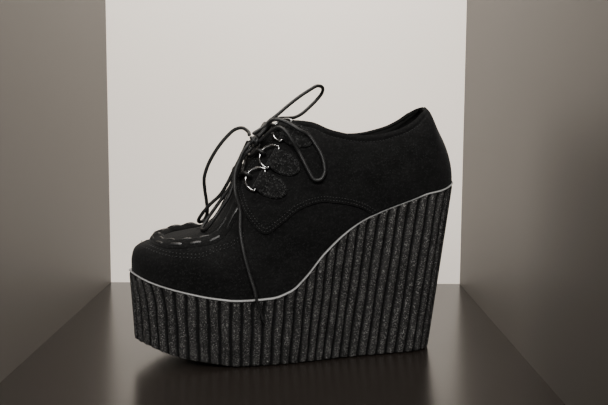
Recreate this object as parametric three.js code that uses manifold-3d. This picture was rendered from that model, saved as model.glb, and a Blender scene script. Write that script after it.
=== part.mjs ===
// A left platform shoe for a woman: a suede derby upper on a ribbed rubber wedge.
// Millimetres, +Z up, toe towards -X, outer (lateral) side towards -Y.

import * as THREE from "three";
import { mergeVertices } from "three/addons/utils/BufferGeometryUtils.js";
import Module from "manifold-3d";

const wasm = await Module();
wasm.setup();

// Driving sizes of the sole
const SHOE_LENGTH = 249;
const BALL_WIDTH = 90;
const PLATFORM_HEIGHT = 50;
const HEEL_HEIGHT = 130.7;
const TOE_SPRING = 15.5;
const TOE_INSET = 3;
const HEEL_INSET = 17.5;
const SIDE_INSET = 3;
const RIB_COUNT = 72;
const RIB_DEPTH = 1.8;
const RIB_FADE = 4.5;
const TREAD_THICKNESS = 2.8;
const TREAD_DROP = 0.8;
const TREAD_MARGIN = 4;

// Driving sizes of welt, insole and upper
const WELT_HEIGHT = 2.6;
const WELT_WIDTH = 12;
const WELT_PROUD = 0.5;
const INSOLE_THICKNESS = 3;
const INSOLE_CLEARANCE = 0.9;
const UPPER_SETBACK = 0.5;
const UPPER_WALL = 2;
const INSTEP_RISE = 126;
const QUARTER_STEP = 1;
const TONGUE_THICKNESS = 2.2;
const TONGUE_WIDTH = 40;
const THROAT_WIDTH = 25;

// Driving sizes of the apron braid
const BRAID_WIDTH = 11;
const BRAID_HEIGHT = 2.4;
const STRIP_HEIGHT = 0.7;
const STRIP_LENGTH = 8;
const STRIP_WIDTH = 2.6;
const STRIP_PITCH = 13.5;
const STRIP_SPACING = 2.7;

// Driving sizes of rings, their tabs and the lace
const LACING_COUNT = 3;
const RING_WIRE = 2.2;
const RING_LENGTH = 20.5;
const RING_REACH = 11;
const TAB_WIDTH = 14.4;
const TAB_FLARE = 1.2;
const TAB_DEPTH = 21;
const TAB_THICKNESS = 1.6;
const FOLD_WALL = 1;
const LACE_DIAMETER = 2.7;
const KNOT_SIZE = new THREE.Vector3(9.8, 8.6, 9.8);
const KNOT_PLACE = new THREE.Vector3(-33.2, -13, 162);

// Clearance between two pieces that touch
const GAP = 0.3;

// Clearance in height between the curved faces of wedge, welt, insole and upper
const SEAT_GAP = 0.45;
const INSOLE_SEAT = 0.6;

// How far a facet may lie from the surface that it replaces
const FLAT_WITHIN = 0.08;

// Sole outline, a row for each section from toe to heel: place as a share of the length,
// outer and inner half width as shares of the ball width.
const OUTLINE = [
  { at: 0, outer: -0.009, inner: 0.009 },
  { at: 0.035, outer: 0.213, inner: 0.242 },
  { at: 0.11, outer: 0.369, inner: 0.409 },
  { at: 0.22, outer: 0.463, inner: 0.492 },
  { at: 0.36, outer: 0.502, inner: 0.487 },
  { at: 0.52, outer: 0.469, inner: 0.403 },
  { at: 0.68, outer: 0.402, inner: 0.359 },
  { at: 0.82, outer: 0.369, inner: 0.37 },
  { at: 0.93, outer: 0.335, inner: 0.34 },
  { at: 0.985, outer: 0.215, inner: 0.23 },
  { at: 1, outer: -0.009, inner: 0.009 },
];

// Side view of the sole: lift of the welt from platform to heel height, spring of the
// underside as a share of the toe spring.
const SOLE_PROFILE = [
  { at: 0, lift: 0.211, spring: 1 },
  { at: 0.045, lift: 0.157, spring: 0.86 },
  { at: 0.1, lift: 0.108, spring: 0.57 },
  { at: 0.16, lift: 0.066, spring: 0.35 },
  { at: 0.221, lift: 0.029, spring: 0.18 },
  { at: 0.302, lift: 0.002, spring: 0 },
  { at: 0.394, lift: 0.012, spring: 0 },
  { at: 0.455, lift: 0.069, spring: 0 },
  { at: 0.495, lift: 0.174, spring: 0 },
  { at: 0.556, lift: 0.389, spring: 0 },
  { at: 0.622, lift: 0.563, spring: 0 },
  { at: 0.689, lift: 0.685, spring: 0 },
  { at: 0.76, lift: 0.772, spring: 0 },
  { at: 0.841, lift: 0.853, spring: 0 },
  { at: 0.89, lift: 0.908, spring: 0 },
  { at: 0.94, lift: 0.936, spring: 0 },
  { at: 1, lift: 1, spring: 0 },
];

// Sections of the upper's full form: top as a share of the instep rise above the welt, powers of
// the arch towards its sides and its top, and the shift of the ridge to the inner side as a share
// of the ball width.
const UPPER_SECTIONS = [
  { at: 0, top: 0.075, sidePower: 3.0, topPower: 2.2, ridge: 0 },
  { at: 0.006, top: 0.128, sidePower: 3.0, topPower: 2.4, ridge: 0.01 },
  { at: 0.012, top: 0.15, sidePower: 3.1, topPower: 2.6, ridge: 0.02 },
  { at: 0.035, top: 0.191, sidePower: 3.3, topPower: 2.8, ridge: 0.035 },
  { at: 0.07, top: 0.228, sidePower: 3.5, topPower: 3.1, ridge: 0.05 },
  { at: 0.119, top: 0.277, sidePower: 3.7, topPower: 3.4, ridge: 0.06 },
  { at: 0.18, top: 0.322, sidePower: 3.6, topPower: 3.4, ridge: 0.065 },
  { at: 0.226, top: 0.36, sidePower: 3.0, topPower: 3.0, ridge: 0.06 },
  { at: 0.251, top: 0.408, sidePower: 2.5, topPower: 2.5, ridge: 0.055 },
  { at: 0.28, top: 0.519, sidePower: 2.1, topPower: 2.1, ridge: 0.05 },
  { at: 0.319, top: 0.69, sidePower: 1.9, topPower: 1.9, ridge: 0.04 },
  { at: 0.359, top: 0.807, sidePower: 1.8, topPower: 1.8, ridge: 0.03 },
  { at: 0.4, top: 0.905, sidePower: 1.8, topPower: 1.8, ridge: 0.02 },
  { at: 0.439, top: 0.975, sidePower: 1.85, topPower: 1.8, ridge: 0.01 },
  { at: 0.48, top: 0.995, sidePower: 2, topPower: 1.9, ridge: 0.005 },
  { at: 0.526, top: 0.93, sidePower: 2.2, topPower: 2, ridge: 0 },
  { at: 0.587, top: 0.8, sidePower: 2.4, topPower: 2, ridge: 0 },
  { at: 0.658, top: 0.685, sidePower: 2.4, topPower: 2, ridge: 0 },
  { at: 0.76, top: 0.585, sidePower: 2.4, topPower: 2, ridge: 0 },
  { at: 0.851, top: 0.53, sidePower: 2.4, topPower: 2, ridge: 0 },
  { at: 0.88, top: 0.52, sidePower: 2.4, topPower: 2, ridge: 0 },
  { at: 0.917, top: 0.497, sidePower: 2.4, topPower: 2, ridge: 0 },
  { at: 0.946, top: 0.38, sidePower: 2.4, topPower: 2.1, ridge: 0 },
  { at: 0.976, top: 0.248, sidePower: 2.3, topPower: 2.2, ridge: 0 },
  { at: 0.99, top: 0.15, sidePower: 2.2, topPower: 2.4, ridge: 0 },
  { at: 1, top: 0.03, sidePower: 2.2, topPower: 2.4, ridge: 0 },
];

// Collar line in side view, from the top of the facing to the heel back.
const COLLAR_LINE = [
  { at: 0.432, rise: 0.978 },
  { at: 0.468, rise: 0.951 },
  { at: 0.5, rise: 0.891 },
  { at: 0.54, rise: 0.785 },
  { at: 0.581, rise: 0.669 },
  { at: 0.62, rise: 0.586 },
  { at: 0.661, rise: 0.52 },
  { at: 0.701, rise: 0.476 },
  { at: 0.741, rise: 0.451 },
  { at: 0.781, rise: 0.441 },
  { at: 0.822, rise: 0.441 },
  { at: 0.861, rise: 0.456 },
  { at: 0.885, rise: 0.476 },
  { at: 0.93, rise: 0.497 },
];

// Front and lower edge of the quarters in side view, from the top of the facing round the
// corner at the vamp to the welt.
const QUARTER_EDGE = [
  { at: 0.434, rise: 1.03 },
  { at: 0.377, rise: 0.87 },
  { at: 0.32, rise: 0.68 },
  { at: 0.311, rise: 0.6 },
  { at: 0.327, rise: 0.479 },
  { at: 0.377, rise: 0.365 },
  { at: 0.429, rise: 0.4 },
  { at: 0.481, rise: 0.418 },
  { at: 0.541, rise: 0.327 },
  { at: 0.587, rise: 0.234 },
  { at: 0.633, rise: 0.15 },
  { at: 0.678, rise: 0.069 },
  { at: 0.725, rise: -0.03 },
];

// Smooth reading of one column of a table between its rows
function column(rows, name) {
  const slopes = rows.map((row, i) => {
    const before = rows[Math.max(i - 1, 0)];
    const after = rows[Math.min(i + 1, rows.length - 1)];
    if (before === row || after === row) {
      return (after[name] - before[name]) / (after.at - before.at);
    }
    const left = (row[name] - before[name]) / (row.at - before.at);
    const right = (after[name] - row[name]) / (after.at - row.at);
    return left * right <= 0 ? 0 : (2 * left * right) / (left + right);
  });
  return (at) => {
    const share = THREE.MathUtils.clamp(at, 0, 1);
    let i = 0;
    while (i < rows.length - 2 && rows[i + 1].at < share) {
      i += 1;
    }
    const span = rows[i + 1].at - rows[i].at;
    const t = (share - rows[i].at) / span;
    const low = rows[i][name] * (1 + 2 * t) * (1 - t) ** 2 + slopes[i] * span * t * (1 - t) ** 2;
    const high = rows[i + 1][name] * t ** 2 * (3 - 2 * t) + slopes[i + 1] * span * t ** 2 * (t - 1);
    return low + high;
  };
}

const liftAt = column(SOLE_PROFILE, "lift");
const springAt = column(SOLE_PROFILE, "spring");
const shareAt = (x) => x / SHOE_LENGTH + 0.5;
const placeAt = (share) => (share - 0.5) * SHOE_LENGTH;
const weltTop = (x) => THREE.MathUtils.lerp(PLATFORM_HEIGHT, HEEL_HEIGHT, liftAt(shareAt(x)));
const underside = (x) => TOE_SPRING * springAt(shareAt(x));

// The sole outline as a closed curve, starting at the toe and running along the outer side
const outlineRow = (row, side) => new THREE.Vector3(placeAt(row.at), row[side] * BALL_WIDTH, 0);
const mirrored = new THREE.Vector3(1, -1, 1);
const outerPoints = OUTLINE.map((row) => outlineRow(row, "outer").multiply(mirrored));
const innerPoints = OUTLINE.slice(1, -1).reverse().map((row) => outlineRow(row, "inner"));
const outline = new THREE.CatmullRomCurve3([...outerPoints, ...innerPoints], true, "centripetal");
outline.arcLengthDivisions = 800;

// Shares of the length where the walls start to lean towards heel and toe, and lean in full
const HEEL_LEAN_START = 0.16;
const HEEL_LEAN_FULL = 0.76;
const TOE_LEAN_START = 0.4;

// A point of the outline moved inwards by an inset
function outlinePoint(u, inset) {
  const wrapped = ((u % 1) + 1) % 1;
  const point = outline.getPointAt(wrapped);
  const tangent = outline.getTangentAt(wrapped);
  return new THREE.Vector2(point.x - tangent.y * inset, point.y + tangent.x * inset);
}

function outlineRing(count, inset) {
  return Array.from({ length: count }, (_, i) => outlinePoint(i / count, inset));
}

// Place on the narrower bottom outline under a point of the top outline
function bottomOf(point) {
  const at = shareAt(point.x);
  const heelwards = THREE.MathUtils.smoothstep(at, HEEL_LEAN_START, HEEL_LEAN_FULL);
  const toewards = Math.max(0, 1 - at / TOE_LEAN_START);
  const shift = (HEEL_INSET * heelwards * weltTop(point.x)) / HEEL_HEIGHT;
  const x = point.x + TOE_INSET * toewards - shift;
  const y = point.y * (1 - (2 * SIDE_INSET) / BALL_WIDTH);
  return new THREE.Vector2(x, y);
}

// A closed body from rings of points, each ring joined to the next and the ends capped
function ringBody(rings) {
  const positions = [];
  const starts = rings.map((ring) => {
    const start = positions.length / 3;
    ring.forEach((p) => positions.push(p.x, p.y, p.z));
    return start;
  });
  const triangles = [];
  for (let r = 0; r + 1 < rings.length; r += 1) {
    const [a, b] = [starts[r], starts[r + 1]];
    const [na, nb] = [rings[r].length, rings[r + 1].length];
    let [i, j] = [0, 0];
    while (i < na || j < nb) {
      const stepA = (i + 0.5) / na <= (j + 0.5) / nb;
      if (j >= nb || (i < na && stepA)) {
        triangles.push(a + (i % na), a + ((i + 1) % na), b + (j % nb));
        i += 1;
      } else {
        triangles.push(a + (i % na), b + ((j + 1) % nb), b + (j % nb));
        j += 1;
      }
    }
  }
  // Across the ring from toe to heel, always on to the nearer of the next points of both sides
  const cap = (start, ring, flip) => {
    const heel = ring.indexOf(ring.reduce((a, b) => (b.x > a.x ? b : a)));
    let [i, j] = [0, ring.length];
    while (i < heel || j > heel) {
      const onNear = j === heel || (i < heel && ring[i + 1].x < ring[j - 1].x);
      const third = onNear ? i + 1 : j - 1;
      const triangle = [start + i, start + (j % ring.length), start + (third % ring.length)];
      triangles.push(...(flip ? triangle.reverse() : triangle));
      i += onNear ? 1 : 0;
      j -= onNear ? 0 : 1;
    }
  };
  cap(starts[0], rings[0], false);
  cap(starts[rings.length - 1], rings[rings.length - 1], true);
  return solidOf(positions, triangles);
}

// Vertices merged and flat triangles dropped, then turned face out
function solidOf(positions, triangles) {
  const raw = new THREE.BufferGeometry();
  raw.setAttribute("position", new THREE.Float32BufferAttribute(positions, 3));
  raw.setIndex(triangles);
  return solidFrom(raw);
}

function solidFrom(geometry) {
  const bare = geometry.clone();
  bare.deleteAttribute("normal");
  bare.deleteAttribute("uv");
  const merged = mergeVertices(bare, 1e-4);
  const index = Array.from(merged.index.array);
  const kept = [];
  for (let i = 0; i < index.length; i += 3) {
    const [a, b, c] = index.slice(i, i + 3);
    if (a !== b && b !== c && c !== a) {
      kept.push(a, b, c);
    }
  }
  const vertProperties = Float32Array.from(merged.attributes.position.array);
  const make = (order) => {
    const mesh = new wasm.Mesh({ numProp: 3, vertProperties, triVerts: Uint32Array.from(order) });
    return new wasm.Manifold(mesh);
  };
  const solid = make(kept);
  return solid.volume() > 0 ? solid : make(kept.reverse());
}

function geometryOf(solid) {
  const mesh = solid.getMesh();
  const geometry = new THREE.BufferGeometry();
  const positions = Float32Array.from(mesh.vertProperties);
  geometry.setAttribute("position", new THREE.BufferAttribute(positions, 3));
  geometry.setIndex(Array.from(mesh.triVerts));
  geometry.computeVertexNormals();
  return geometry;
}

// Solids standing on a plan shape, or running across the shoe from a side view shape
const TALL = 2 * (HEEL_HEIGHT + INSTEP_RISE);

function extruded(shape, depth) {
  return new THREE.ExtrudeGeometry(shape, { depth, bevelEnabled: false });
}

function planPrism(points) {
  const geometry = extruded(new THREE.Shape(points), TALL);
  return solidFrom(geometry.translate(0, 0, -TALL / 4));
}

function sidePrism(points) {
  const wide = 2 * BALL_WIDTH;
  const geometry = extruded(new THREE.Shape(points), wide);
  return solidFrom(geometry.rotateX(Math.PI / 2).translate(0, wide / 2, 0));
}

// A place in side view from its share of the length and its rise above the welt
function sidePoint(at, rise) {
  const x = placeAt(at);
  return new THREE.Vector2(x, weltTop(x) + rise * INSTEP_RISE);
}

const sideLine = (rows) => rows.map((row) => sidePoint(row.at, row.rise));
const smooth = (points, count) => new THREE.SplineCurve(points).getSpacedPoints(count);

const PLAN_POINTS = 600;

// Half widths of the outline at a place along the shoe, read from a ring moved inwards
function halfWidths(inset) {
  const ring = outlineRing(PLAN_POINTS, inset);
  const tip = ring.reduce((a, b) => (b.x < a.x ? b : a));
  const back = ring.reduce((a, b) => (b.x > a.x ? b : a));
  const read = (points) => {
    const sorted = points.sort((a, b) => a.x - b.x);
    return (x) => {
      const next = sorted.findIndex((p) => p.x >= x);
      if (next <= 0) {
        return next === 0 ? sorted[0].y : sorted[sorted.length - 1].y;
      }
      const [a, b] = [sorted[next - 1], sorted[next]];
      return THREE.MathUtils.lerp(a.y, b.y, (x - a.x) / Math.max(b.x - a.x, 1e-9));
    };
  };
  const [first, last] = [ring.indexOf(tip), ring.indexOf(back)];
  const run = (from, to) => {
    const points = [];
    for (let i = from; i !== to; i = (i + 1) % PLAN_POINTS) {
      points.push(ring[i]);
    }
    points.push(ring[to]);
    return points;
  };
  const [outer, inner] = [read(run(first, last)), read(run(last, first))];
  return { start: tip.x, end: back.x, outer, inner };
}

const knownPlans = new Map();

function plans(inset) {
  if (!knownPlans.has(inset)) {
    knownPlans.set(inset, halfWidths(inset));
  }
  return knownPlans.get(inset);
}

// Sections along the upper, close together round toe and heel
const TOE_RUN = 0.16;
const HEEL_RUN = 0.14;
const END_STEPS = 5;
const MIDDLE_STEPS = 18;

function stationShares() {
  const shares = [];
  for (let i = 0; i < END_STEPS; i += 1) {
    shares.push(TOE_RUN * (1 - Math.cos((Math.PI * i) / (2 * END_STEPS))));
  }
  for (let i = 0; i < MIDDLE_STEPS; i += 1) {
    shares.push(THREE.MathUtils.lerp(TOE_RUN, 1 - HEEL_RUN, i / MIDDLE_STEPS));
  }
  for (let i = 0; i <= END_STEPS; i += 1) {
    shares.push(1 - HEEL_RUN + HEEL_RUN * Math.sin((Math.PI * i) / (2 * END_STEPS)));
  }
  return shares;
}

const sectionTop = column(UPPER_SECTIONS, "top");
const sectionSide = column(UPPER_SECTIONS, "sidePower");
const sectionCrown = column(UPPER_SECTIONS, "topPower");
const sectionRidge = column(UPPER_SECTIONS, "ridge");
const ARCH_STEPS = 14;

// A point of the form's arch across the shoe: turn runs from 0 on the outer side over the ridge to 1
function archPoint(x, turn, inset) {
  const plan = plans(UPPER_SETBACK + inset);
  const share = (x - plan.start) / (plan.end - plan.start);
  const height = Math.max(sectionTop(share) * INSTEP_RISE - inset, 1);
  const angle = Math.PI * turn;
  const out = Math.abs(Math.cos(angle)) ** (2 / sectionSide(share));
  const up = Math.sin(angle) ** (2 / sectionCrown(share));
  const middle = sectionRidge(share) * BALL_WIDTH * up;
  const edge = turn < 0.5 ? plan.outer(x) : plan.inner(x);
  const y = turn === 0.5 ? middle : THREE.MathUtils.lerp(middle, edge, out);
  return new THREE.Vector3(x, y, weltTop(x) + SEAT_GAP + height * up);
}

// The upper's own function: its full form moved inwards by an inset, negative for outwards
function upperForm(inset, below = 0) {
  const plan = plans(UPPER_SETBACK + inset);
  const sections = stationShares().map((share) => {
    const x = THREE.MathUtils.lerp(plan.start, plan.end, share);
    const turns = Array.from({ length: ARCH_STEPS + 1 }, (_, k) => k / ARCH_STEPS);
    const arch = turns.map((turn) => archPoint(x, turn, inset));
    const foot = weltTop(x) + SEAT_GAP - below;
    const feet = [plan.inner(x), plan.outer(x)].map((y) => new THREE.Vector3(x, y, foot));
    return [...arch, ...feet];
  });
  return loftBody(sections);
}

// A body through sections with equal counts of points. Its ends close by themselves: either both
// end sections have no width, or the last section meets the first.
function loftBody(sections, closed = false) {
  const count = sections[0].length;
  const positions = sections.flat().flatMap((p) => [p.x, p.y, p.z]);
  const triangles = [];
  const spans = closed ? sections.length : sections.length - 1;
  for (let s = 0; s < spans; s += 1) {
    const next = ((s + 1) % sections.length) * count;
    for (let k = 0; k < count; k += 1) {
      const after = (k + 1) % count;
      const [a, b] = [s * count + k, s * count + after];
      triangles.push(a, b, next + k, b, next + after, next + k);
    }
  }
  return solidOf(positions, triangles);
}

// Where the form's surface lies at a height over one side, and the way out of it
function surfacePoint(x, z, side, inset) {
  const plan = plans(UPPER_SETBACK + inset);
  const share = (x - plan.start) / (plan.end - plan.start);
  const height = Math.max(sectionTop(share) * INSTEP_RISE - inset, 1);
  const up = THREE.MathUtils.clamp((z - weltTop(x) - SEAT_GAP) / height, 0, 1);
  const out = (1 - up ** sectionCrown(share)) ** (1 / sectionSide(share));
  const middle = sectionRidge(share) * BALL_WIDTH * up;
  return new THREE.Vector3(x, middle * (1 - out) + plan[side](x) * out, z);
}

// Sole: tread, wedge and welt
const TREAD_ROOF = TREAD_THICKNESS + GAP;

// Corners of one rib: place round the sole as a share of the rib's pitch, and depth there
const RIB_CORNERS = [
  { at: 0, depth: RIB_DEPTH },
  { at: 0.21, depth: 0 },
  { at: 0.79, depth: 0 },
];

function ribRing(rise, deep) {
  const ring = [];
  for (let k = 0; k < RIB_COUNT; k += 1) {
    RIB_CORNERS.forEach(({ at, depth }) => {
      const top = outlinePoint((k + at) / RIB_COUNT, depth * deep);
      ring.push(wallPoint(top, rise));
    });
  }
  return ring;
}

// A point of the leaning side wall, at a rise from the underside or, if negative, down from the top
function wallPoint(top, rise) {
  const bottom = bottomOf(top);
  const low = underside(bottom.x) + TREAD_DROP;
  const high = weltTop(top.x) - WELT_HEIGHT - SEAT_GAP;
  const share = rise < 0 ? 1 + rise / (high - low) : rise / (high - low);
  const plan = bottom.lerp(top, share);
  return new THREE.Vector3(plan.x, plan.y, THREE.MathUtils.lerp(low, high, share));
}

const level = (count, inset, heightOf) =>
  outlineRing(count, inset).map((p) => new THREE.Vector3(p.x, p.y, heightOf(p.x)));

const bottomLevel = (count, inset, raise) =>
  outlineRing(count, inset).map((p) => {
    const b = bottomOf(p);
    return new THREE.Vector3(b.x, b.y, underside(b.x) + raise);
  });

function wedgeSole() {
  const seat = (x) => weltTop(x) - WELT_HEIGHT - SEAT_GAP;
  return ringBody([
    bottomLevel(RIB_COUNT, TREAD_MARGIN, TREAD_ROOF),
    bottomLevel(RIB_COUNT, TREAD_MARGIN, TREAD_DROP),
    ribRing(0, 1),
    ribRing(-RIB_FADE, 1),
    ribRing(-GAP, 0),
    level(RIB_COUNT, GAP, seat),
    level(RIB_COUNT, WELT_WIDTH + GAP, seat),
    level(RIB_COUNT, WELT_WIDTH + GAP, weltTop),
  ]);
}

function outsole() {
  const inset = TREAD_MARGIN + GAP;
  const [low, high] = [0, TREAD_THICKNESS].map((raise) => bottomLevel(RIB_COUNT, inset, raise));
  return ringBody([low, high]);
}

function welt() {
  const low = (x) => weltTop(x) - WELT_HEIGHT;
  const corners = [
    level(RIB_COUNT, -WELT_PROUD, low),
    level(RIB_COUNT, -WELT_PROUD, weltTop),
    level(RIB_COUNT, WELT_WIDTH, weltTop),
    level(RIB_COUNT, WELT_WIDTH, low),
  ];
  const sections = corners[0].map((_, i) => corners.map((ring) => ring[i]));
  return loftBody(sections, true);
}

function insole() {
  const inset = UPPER_SETBACK + QUARTER_STEP + UPPER_WALL + INSOLE_CLEARANCE;
  const raised = (amount) => (x) => weltTop(x) + amount;
  return ringBody([
    level(RIB_COUNT, inset, raised(INSOLE_SEAT)),
    level(RIB_COUNT, inset, raised(INSOLE_SEAT + INSOLE_THICKNESS)),
  ]);
}

// Upper: vamp with quarters as a step in its wall, collar and throat open
const THROAT_START = 0.244;
const THROAT_END = 0.5;
const THROAT_ROUND = 0.6;
const THROAT_STEPS = 8;
const COLLAR_STEPS = 28;
const QUARTER_STEPS = 36;
const BEHIND = placeAt(1.1);

function collarCutter() {
  const line = smooth(sideLine(COLLAR_LINE), COLLAR_STEPS);
  const [front, back] = [line[0], line[line.length - 1]];
  const corners = [new THREE.Vector2(BEHIND, back.y), new THREE.Vector2(BEHIND, TALL / 2)];
  return sidePrism([...line, ...corners, new THREE.Vector2(front.x, TALL / 2)]);
}

const ridgeAt = (x) => sectionRidge(shareAt(x)) * BALL_WIDTH;

function throatCutter() {
  const [start, end] = [placeAt(THROAT_START), placeAt(THROAT_END)];
  const half = THROAT_WIDTH / 2;
  const points = [];
  for (let k = 0; k <= THROAT_STEPS; k += 1) {
    const angle = Math.PI / 2 + (Math.PI * k) / THROAT_STEPS;
    const x = start + half * THROAT_ROUND * (1 + Math.cos(angle));
    points.push(new THREE.Vector2(x, ridgeAt(x) + half * Math.sin(angle)));
  }
  points.push(new THREE.Vector2(end, ridgeAt(end) - half));
  points.push(new THREE.Vector2(end, ridgeAt(end) + half));
  return planPrism(points);
}

function quarterRegion(clearance = 0) {
  const shift = new THREE.Vector2(-clearance, -clearance);
  const edge = smooth(sideLine(QUARTER_EDGE), QUARTER_STEPS).map((p) => p.add(shift));
  const [top, low] = [edge[0], edge[edge.length - 1]];
  return sidePrism([
    ...edge,
    new THREE.Vector2(low.x, 0),
    new THREE.Vector2(BEHIND, 0),
    new THREE.Vector2(BEHIND, TALL / 2),
    new THREE.Vector2(top.x, TALL / 2),
  ]);
}

const vampForm = upperForm(QUARTER_STEP);
const quarterForm = upperForm(0);

function upper() {
  const quarters = quarterForm.intersect(quarterRegion());
  const hollow = upperForm(QUARTER_STEP + UPPER_WALL, WELT_HEIGHT);
  return vampForm.add(quarters).subtract(hollow).subtract(collarCutter()).subtract(throatCutter());
}

// Tongue seen from above: place along the shoe and width as a share of the tongue's
const TONGUE_OUTLINE = [
  { at: 0.21, width: 0.45 },
  { at: 0.234, width: 0.7 },
  { at: 0.29, width: 0.85 },
  { at: 0.414, width: 1 },
  { at: 0.45, width: 0.9 },
  { at: 0.462, width: 0.7 },
];

function tongue() {
  const outer = QUARTER_STEP + UPPER_WALL + GAP;
  const shell = upperForm(outer).subtract(upperForm(outer + TONGUE_THICKNESS, WELT_HEIGHT));
  const side = (sign) =>
    TONGUE_OUTLINE.map(({ at, width }) => {
      const x = placeAt(at);
      return new THREE.Vector2(x, ridgeAt(x) + (sign * width * TONGUE_WIDTH) / 2);
    });
  return shell.intersect(planPrism([...side(-1), ...side(1).reverse()]));
}

// Apron braid: a U-shaped band on the vamp with two rows of raised strips
const BRAID_PATH = [
  { at: 0.335, side: -0.235 },
  { at: 0.27, side: -0.262 },
  { at: 0.19, side: -0.275 },
  { at: 0.125, side: -0.225 },
  { at: 0.09, side: -0.11 },
  { at: 0.082, side: 0.02 },
  { at: 0.09, side: 0.15 },
  { at: 0.125, side: 0.265 },
  { at: 0.19, side: 0.315 },
  { at: 0.24, side: 0.31 },
  { at: 0.285, side: 0.29 },
];
const BRAID_STEPS = 20;

const braidCurve = new THREE.SplineCurve(
  BRAID_PATH.map((row) => new THREE.Vector2(placeAt(row.at), row.side * BALL_WIDTH)),
);

// A point beside the braid's middle line, outwards if the offset is positive
function besideBraid(u, offset) {
  const point = braidCurve.getPointAt(u);
  const tangent = braidCurve.getTangentAt(u);
  return new THREE.Vector2(point.x + tangent.y * -offset, point.y + tangent.x * offset);
}

function braidBand(width) {
  const shares = Array.from({ length: BRAID_STEPS + 1 }, (_, i) => i / BRAID_STEPS);
  const run = (offset) => shares.map((u) => besideBraid(u, offset));
  return planPrism([...run(width / 2), ...run(-width / 2).reverse()]);
}

function stripPatches() {
  const length = braidCurve.getLength();
  const count = Math.floor(length / STRIP_PITCH);
  const patches = [];
  [1, -1].forEach((row) => {
    for (let k = 0; k <= count; k += 1) {
      const middle = ((k + 0.5 + row * 0.25) * STRIP_PITCH) / length;
      const offset = row * STRIP_SPACING;
      const reach = STRIP_LENGTH / 2 / length;
      const corner = (u, side) => besideBraid(middle + u * reach, offset + (side * STRIP_WIDTH) / 2);
      if (middle - reach > 0 && middle + reach < 1) {
        patches.push(planPrism([corner(-1, 1), corner(1, 1), corner(1, -1), corner(-1, -1)]));
      }
    }
  });
  return patches.reduce((a, b) => a.add(b));
}

function apronBraid() {
  const seat = QUARTER_STEP - GAP;
  const band = upperForm(seat - BRAID_HEIGHT).intersect(braidBand(BRAID_WIDTH));
  const strips = upperForm(seat - BRAID_HEIGHT - STRIP_HEIGHT).intersect(stripPatches());
  return band.add(strips).subtract(upperForm(seat, WELT_HEIGHT)).subtract(quarterRegion(GAP));
}

// D rings and the tabs that hold them, three on each side along the facing
const LACING_FIRST = { at: 0.3775, rise: 0.655 };
const LACING_LAST = { at: 0.4633, rise: 0.888 };
const FOLD_RADIUS = RING_WIRE / 2 + GAP + FOLD_WALL;
const BAR_LIFT = GAP + FOLD_RADIUS;
const PROBE = RING_WIRE;

// Frame at a bar's middle: along the bar, towards the throat, and out of the surface
function barFrame(number, side) {
  const share = number / (LACING_COUNT - 1);
  const middle = sidePoint(
    THREE.MathUtils.lerp(LACING_FIRST.at, LACING_LAST.at, share),
    THREE.MathUtils.lerp(LACING_FIRST.rise, LACING_LAST.rise, share),
  );
  const last = sidePoint(LACING_LAST.at, LACING_LAST.rise);
  const way = last.sub(sidePoint(LACING_FIRST.at, LACING_FIRST.rise)).normalize();
  const seat = (a, b) =>
    surfacePoint(middle.x + way.x * a - way.y * b, middle.y + way.y * a + way.x * b, side, 0);
  const along = seat(PROBE, 0).sub(seat(-PROBE, 0)).normalize();
  const across = seat(0, PROBE).sub(seat(0, -PROBE)).normalize();
  const out = new THREE.Vector3().crossVectors(along, across).normalize();
  if (out.y * (side === "outer" ? -1 : 1) < 0) {
    out.negate();
  }
  const reach = new THREE.Vector3().crossVectors(out, along);
  if (reach.dot(across) < 0) {
    reach.negate();
  }
  const origin = seat(0, 0);
  return { origin, along, reach, out };
}

function inFrame(frame, a, b, c) {
  const point = frame.origin.clone().addScaledVector(frame.along, a);
  return point.addScaledVector(frame.reach, b).addScaledVector(frame.out, c);
}

// A round wire through points of one plane, closed on itself
function wireLoop(points, out, diameter, sides) {
  const sections = points.map((point, i) => {
    const before = points[(i + points.length - 1) % points.length];
    const after = points[(i + 1) % points.length];
    const tangent = after.clone().sub(before).normalize();
    const across = new THREE.Vector3().crossVectors(tangent, out).normalize();
    return Array.from({ length: sides }, (_, k) => {
      const angle = (2 * Math.PI * k) / sides;
      const [rise, reach] = [Math.sin(angle), Math.cos(angle)].map((part) => (part * diameter) / 2);
      return point.clone().addScaledVector(out, rise).addScaledVector(across, reach);
    });
  });
  return loftBody(sections, true);
}

const RING_ARC_STEPS = 8;
const RING_SIDES = 8;
const RING_CORNER = 0.93;
const RING_FULLNESS = 0.8;

function dRing(frame) {
  const half = (RING_LENGTH - RING_WIRE) / 2;
  const points = [-RING_CORNER, RING_CORNER].map((share) => inFrame(frame, half * share, 0, BAR_LIFT));
  for (let k = 1; k < RING_ARC_STEPS; k += 1) {
    const angle = (Math.PI * k) / RING_ARC_STEPS;
    const reach = RING_REACH * Math.sin(angle) ** RING_FULLNESS;
    points.push(inFrame(frame, half * Math.cos(angle), reach, BAR_LIFT));
  }
  return wireLoop(points, frame.out, RING_WIRE, RING_SIDES);
}

const TAB_ROUND_STEPS = 6;
const TAB_STRAIGHT = 1 / 3;
const FOLD_SIDES = 8;
const HOLE_LENGTH = 1.5 * TAB_WIDTH;

// A round bar along the ring's bar, for the fold and the hole through it
function barCylinder(frame, radius, length, sides) {
  const geometry = new THREE.CylinderGeometry(radius, radius, length, sides);
  const basis = new THREE.Matrix4().makeBasis(frame.reach, frame.along, frame.out);
  const middle = inFrame(frame, 0, 0, BAR_LIFT);
  return solidFrom(geometry.applyMatrix4(basis).translate(middle.x, middle.y, middle.z));
}

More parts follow.
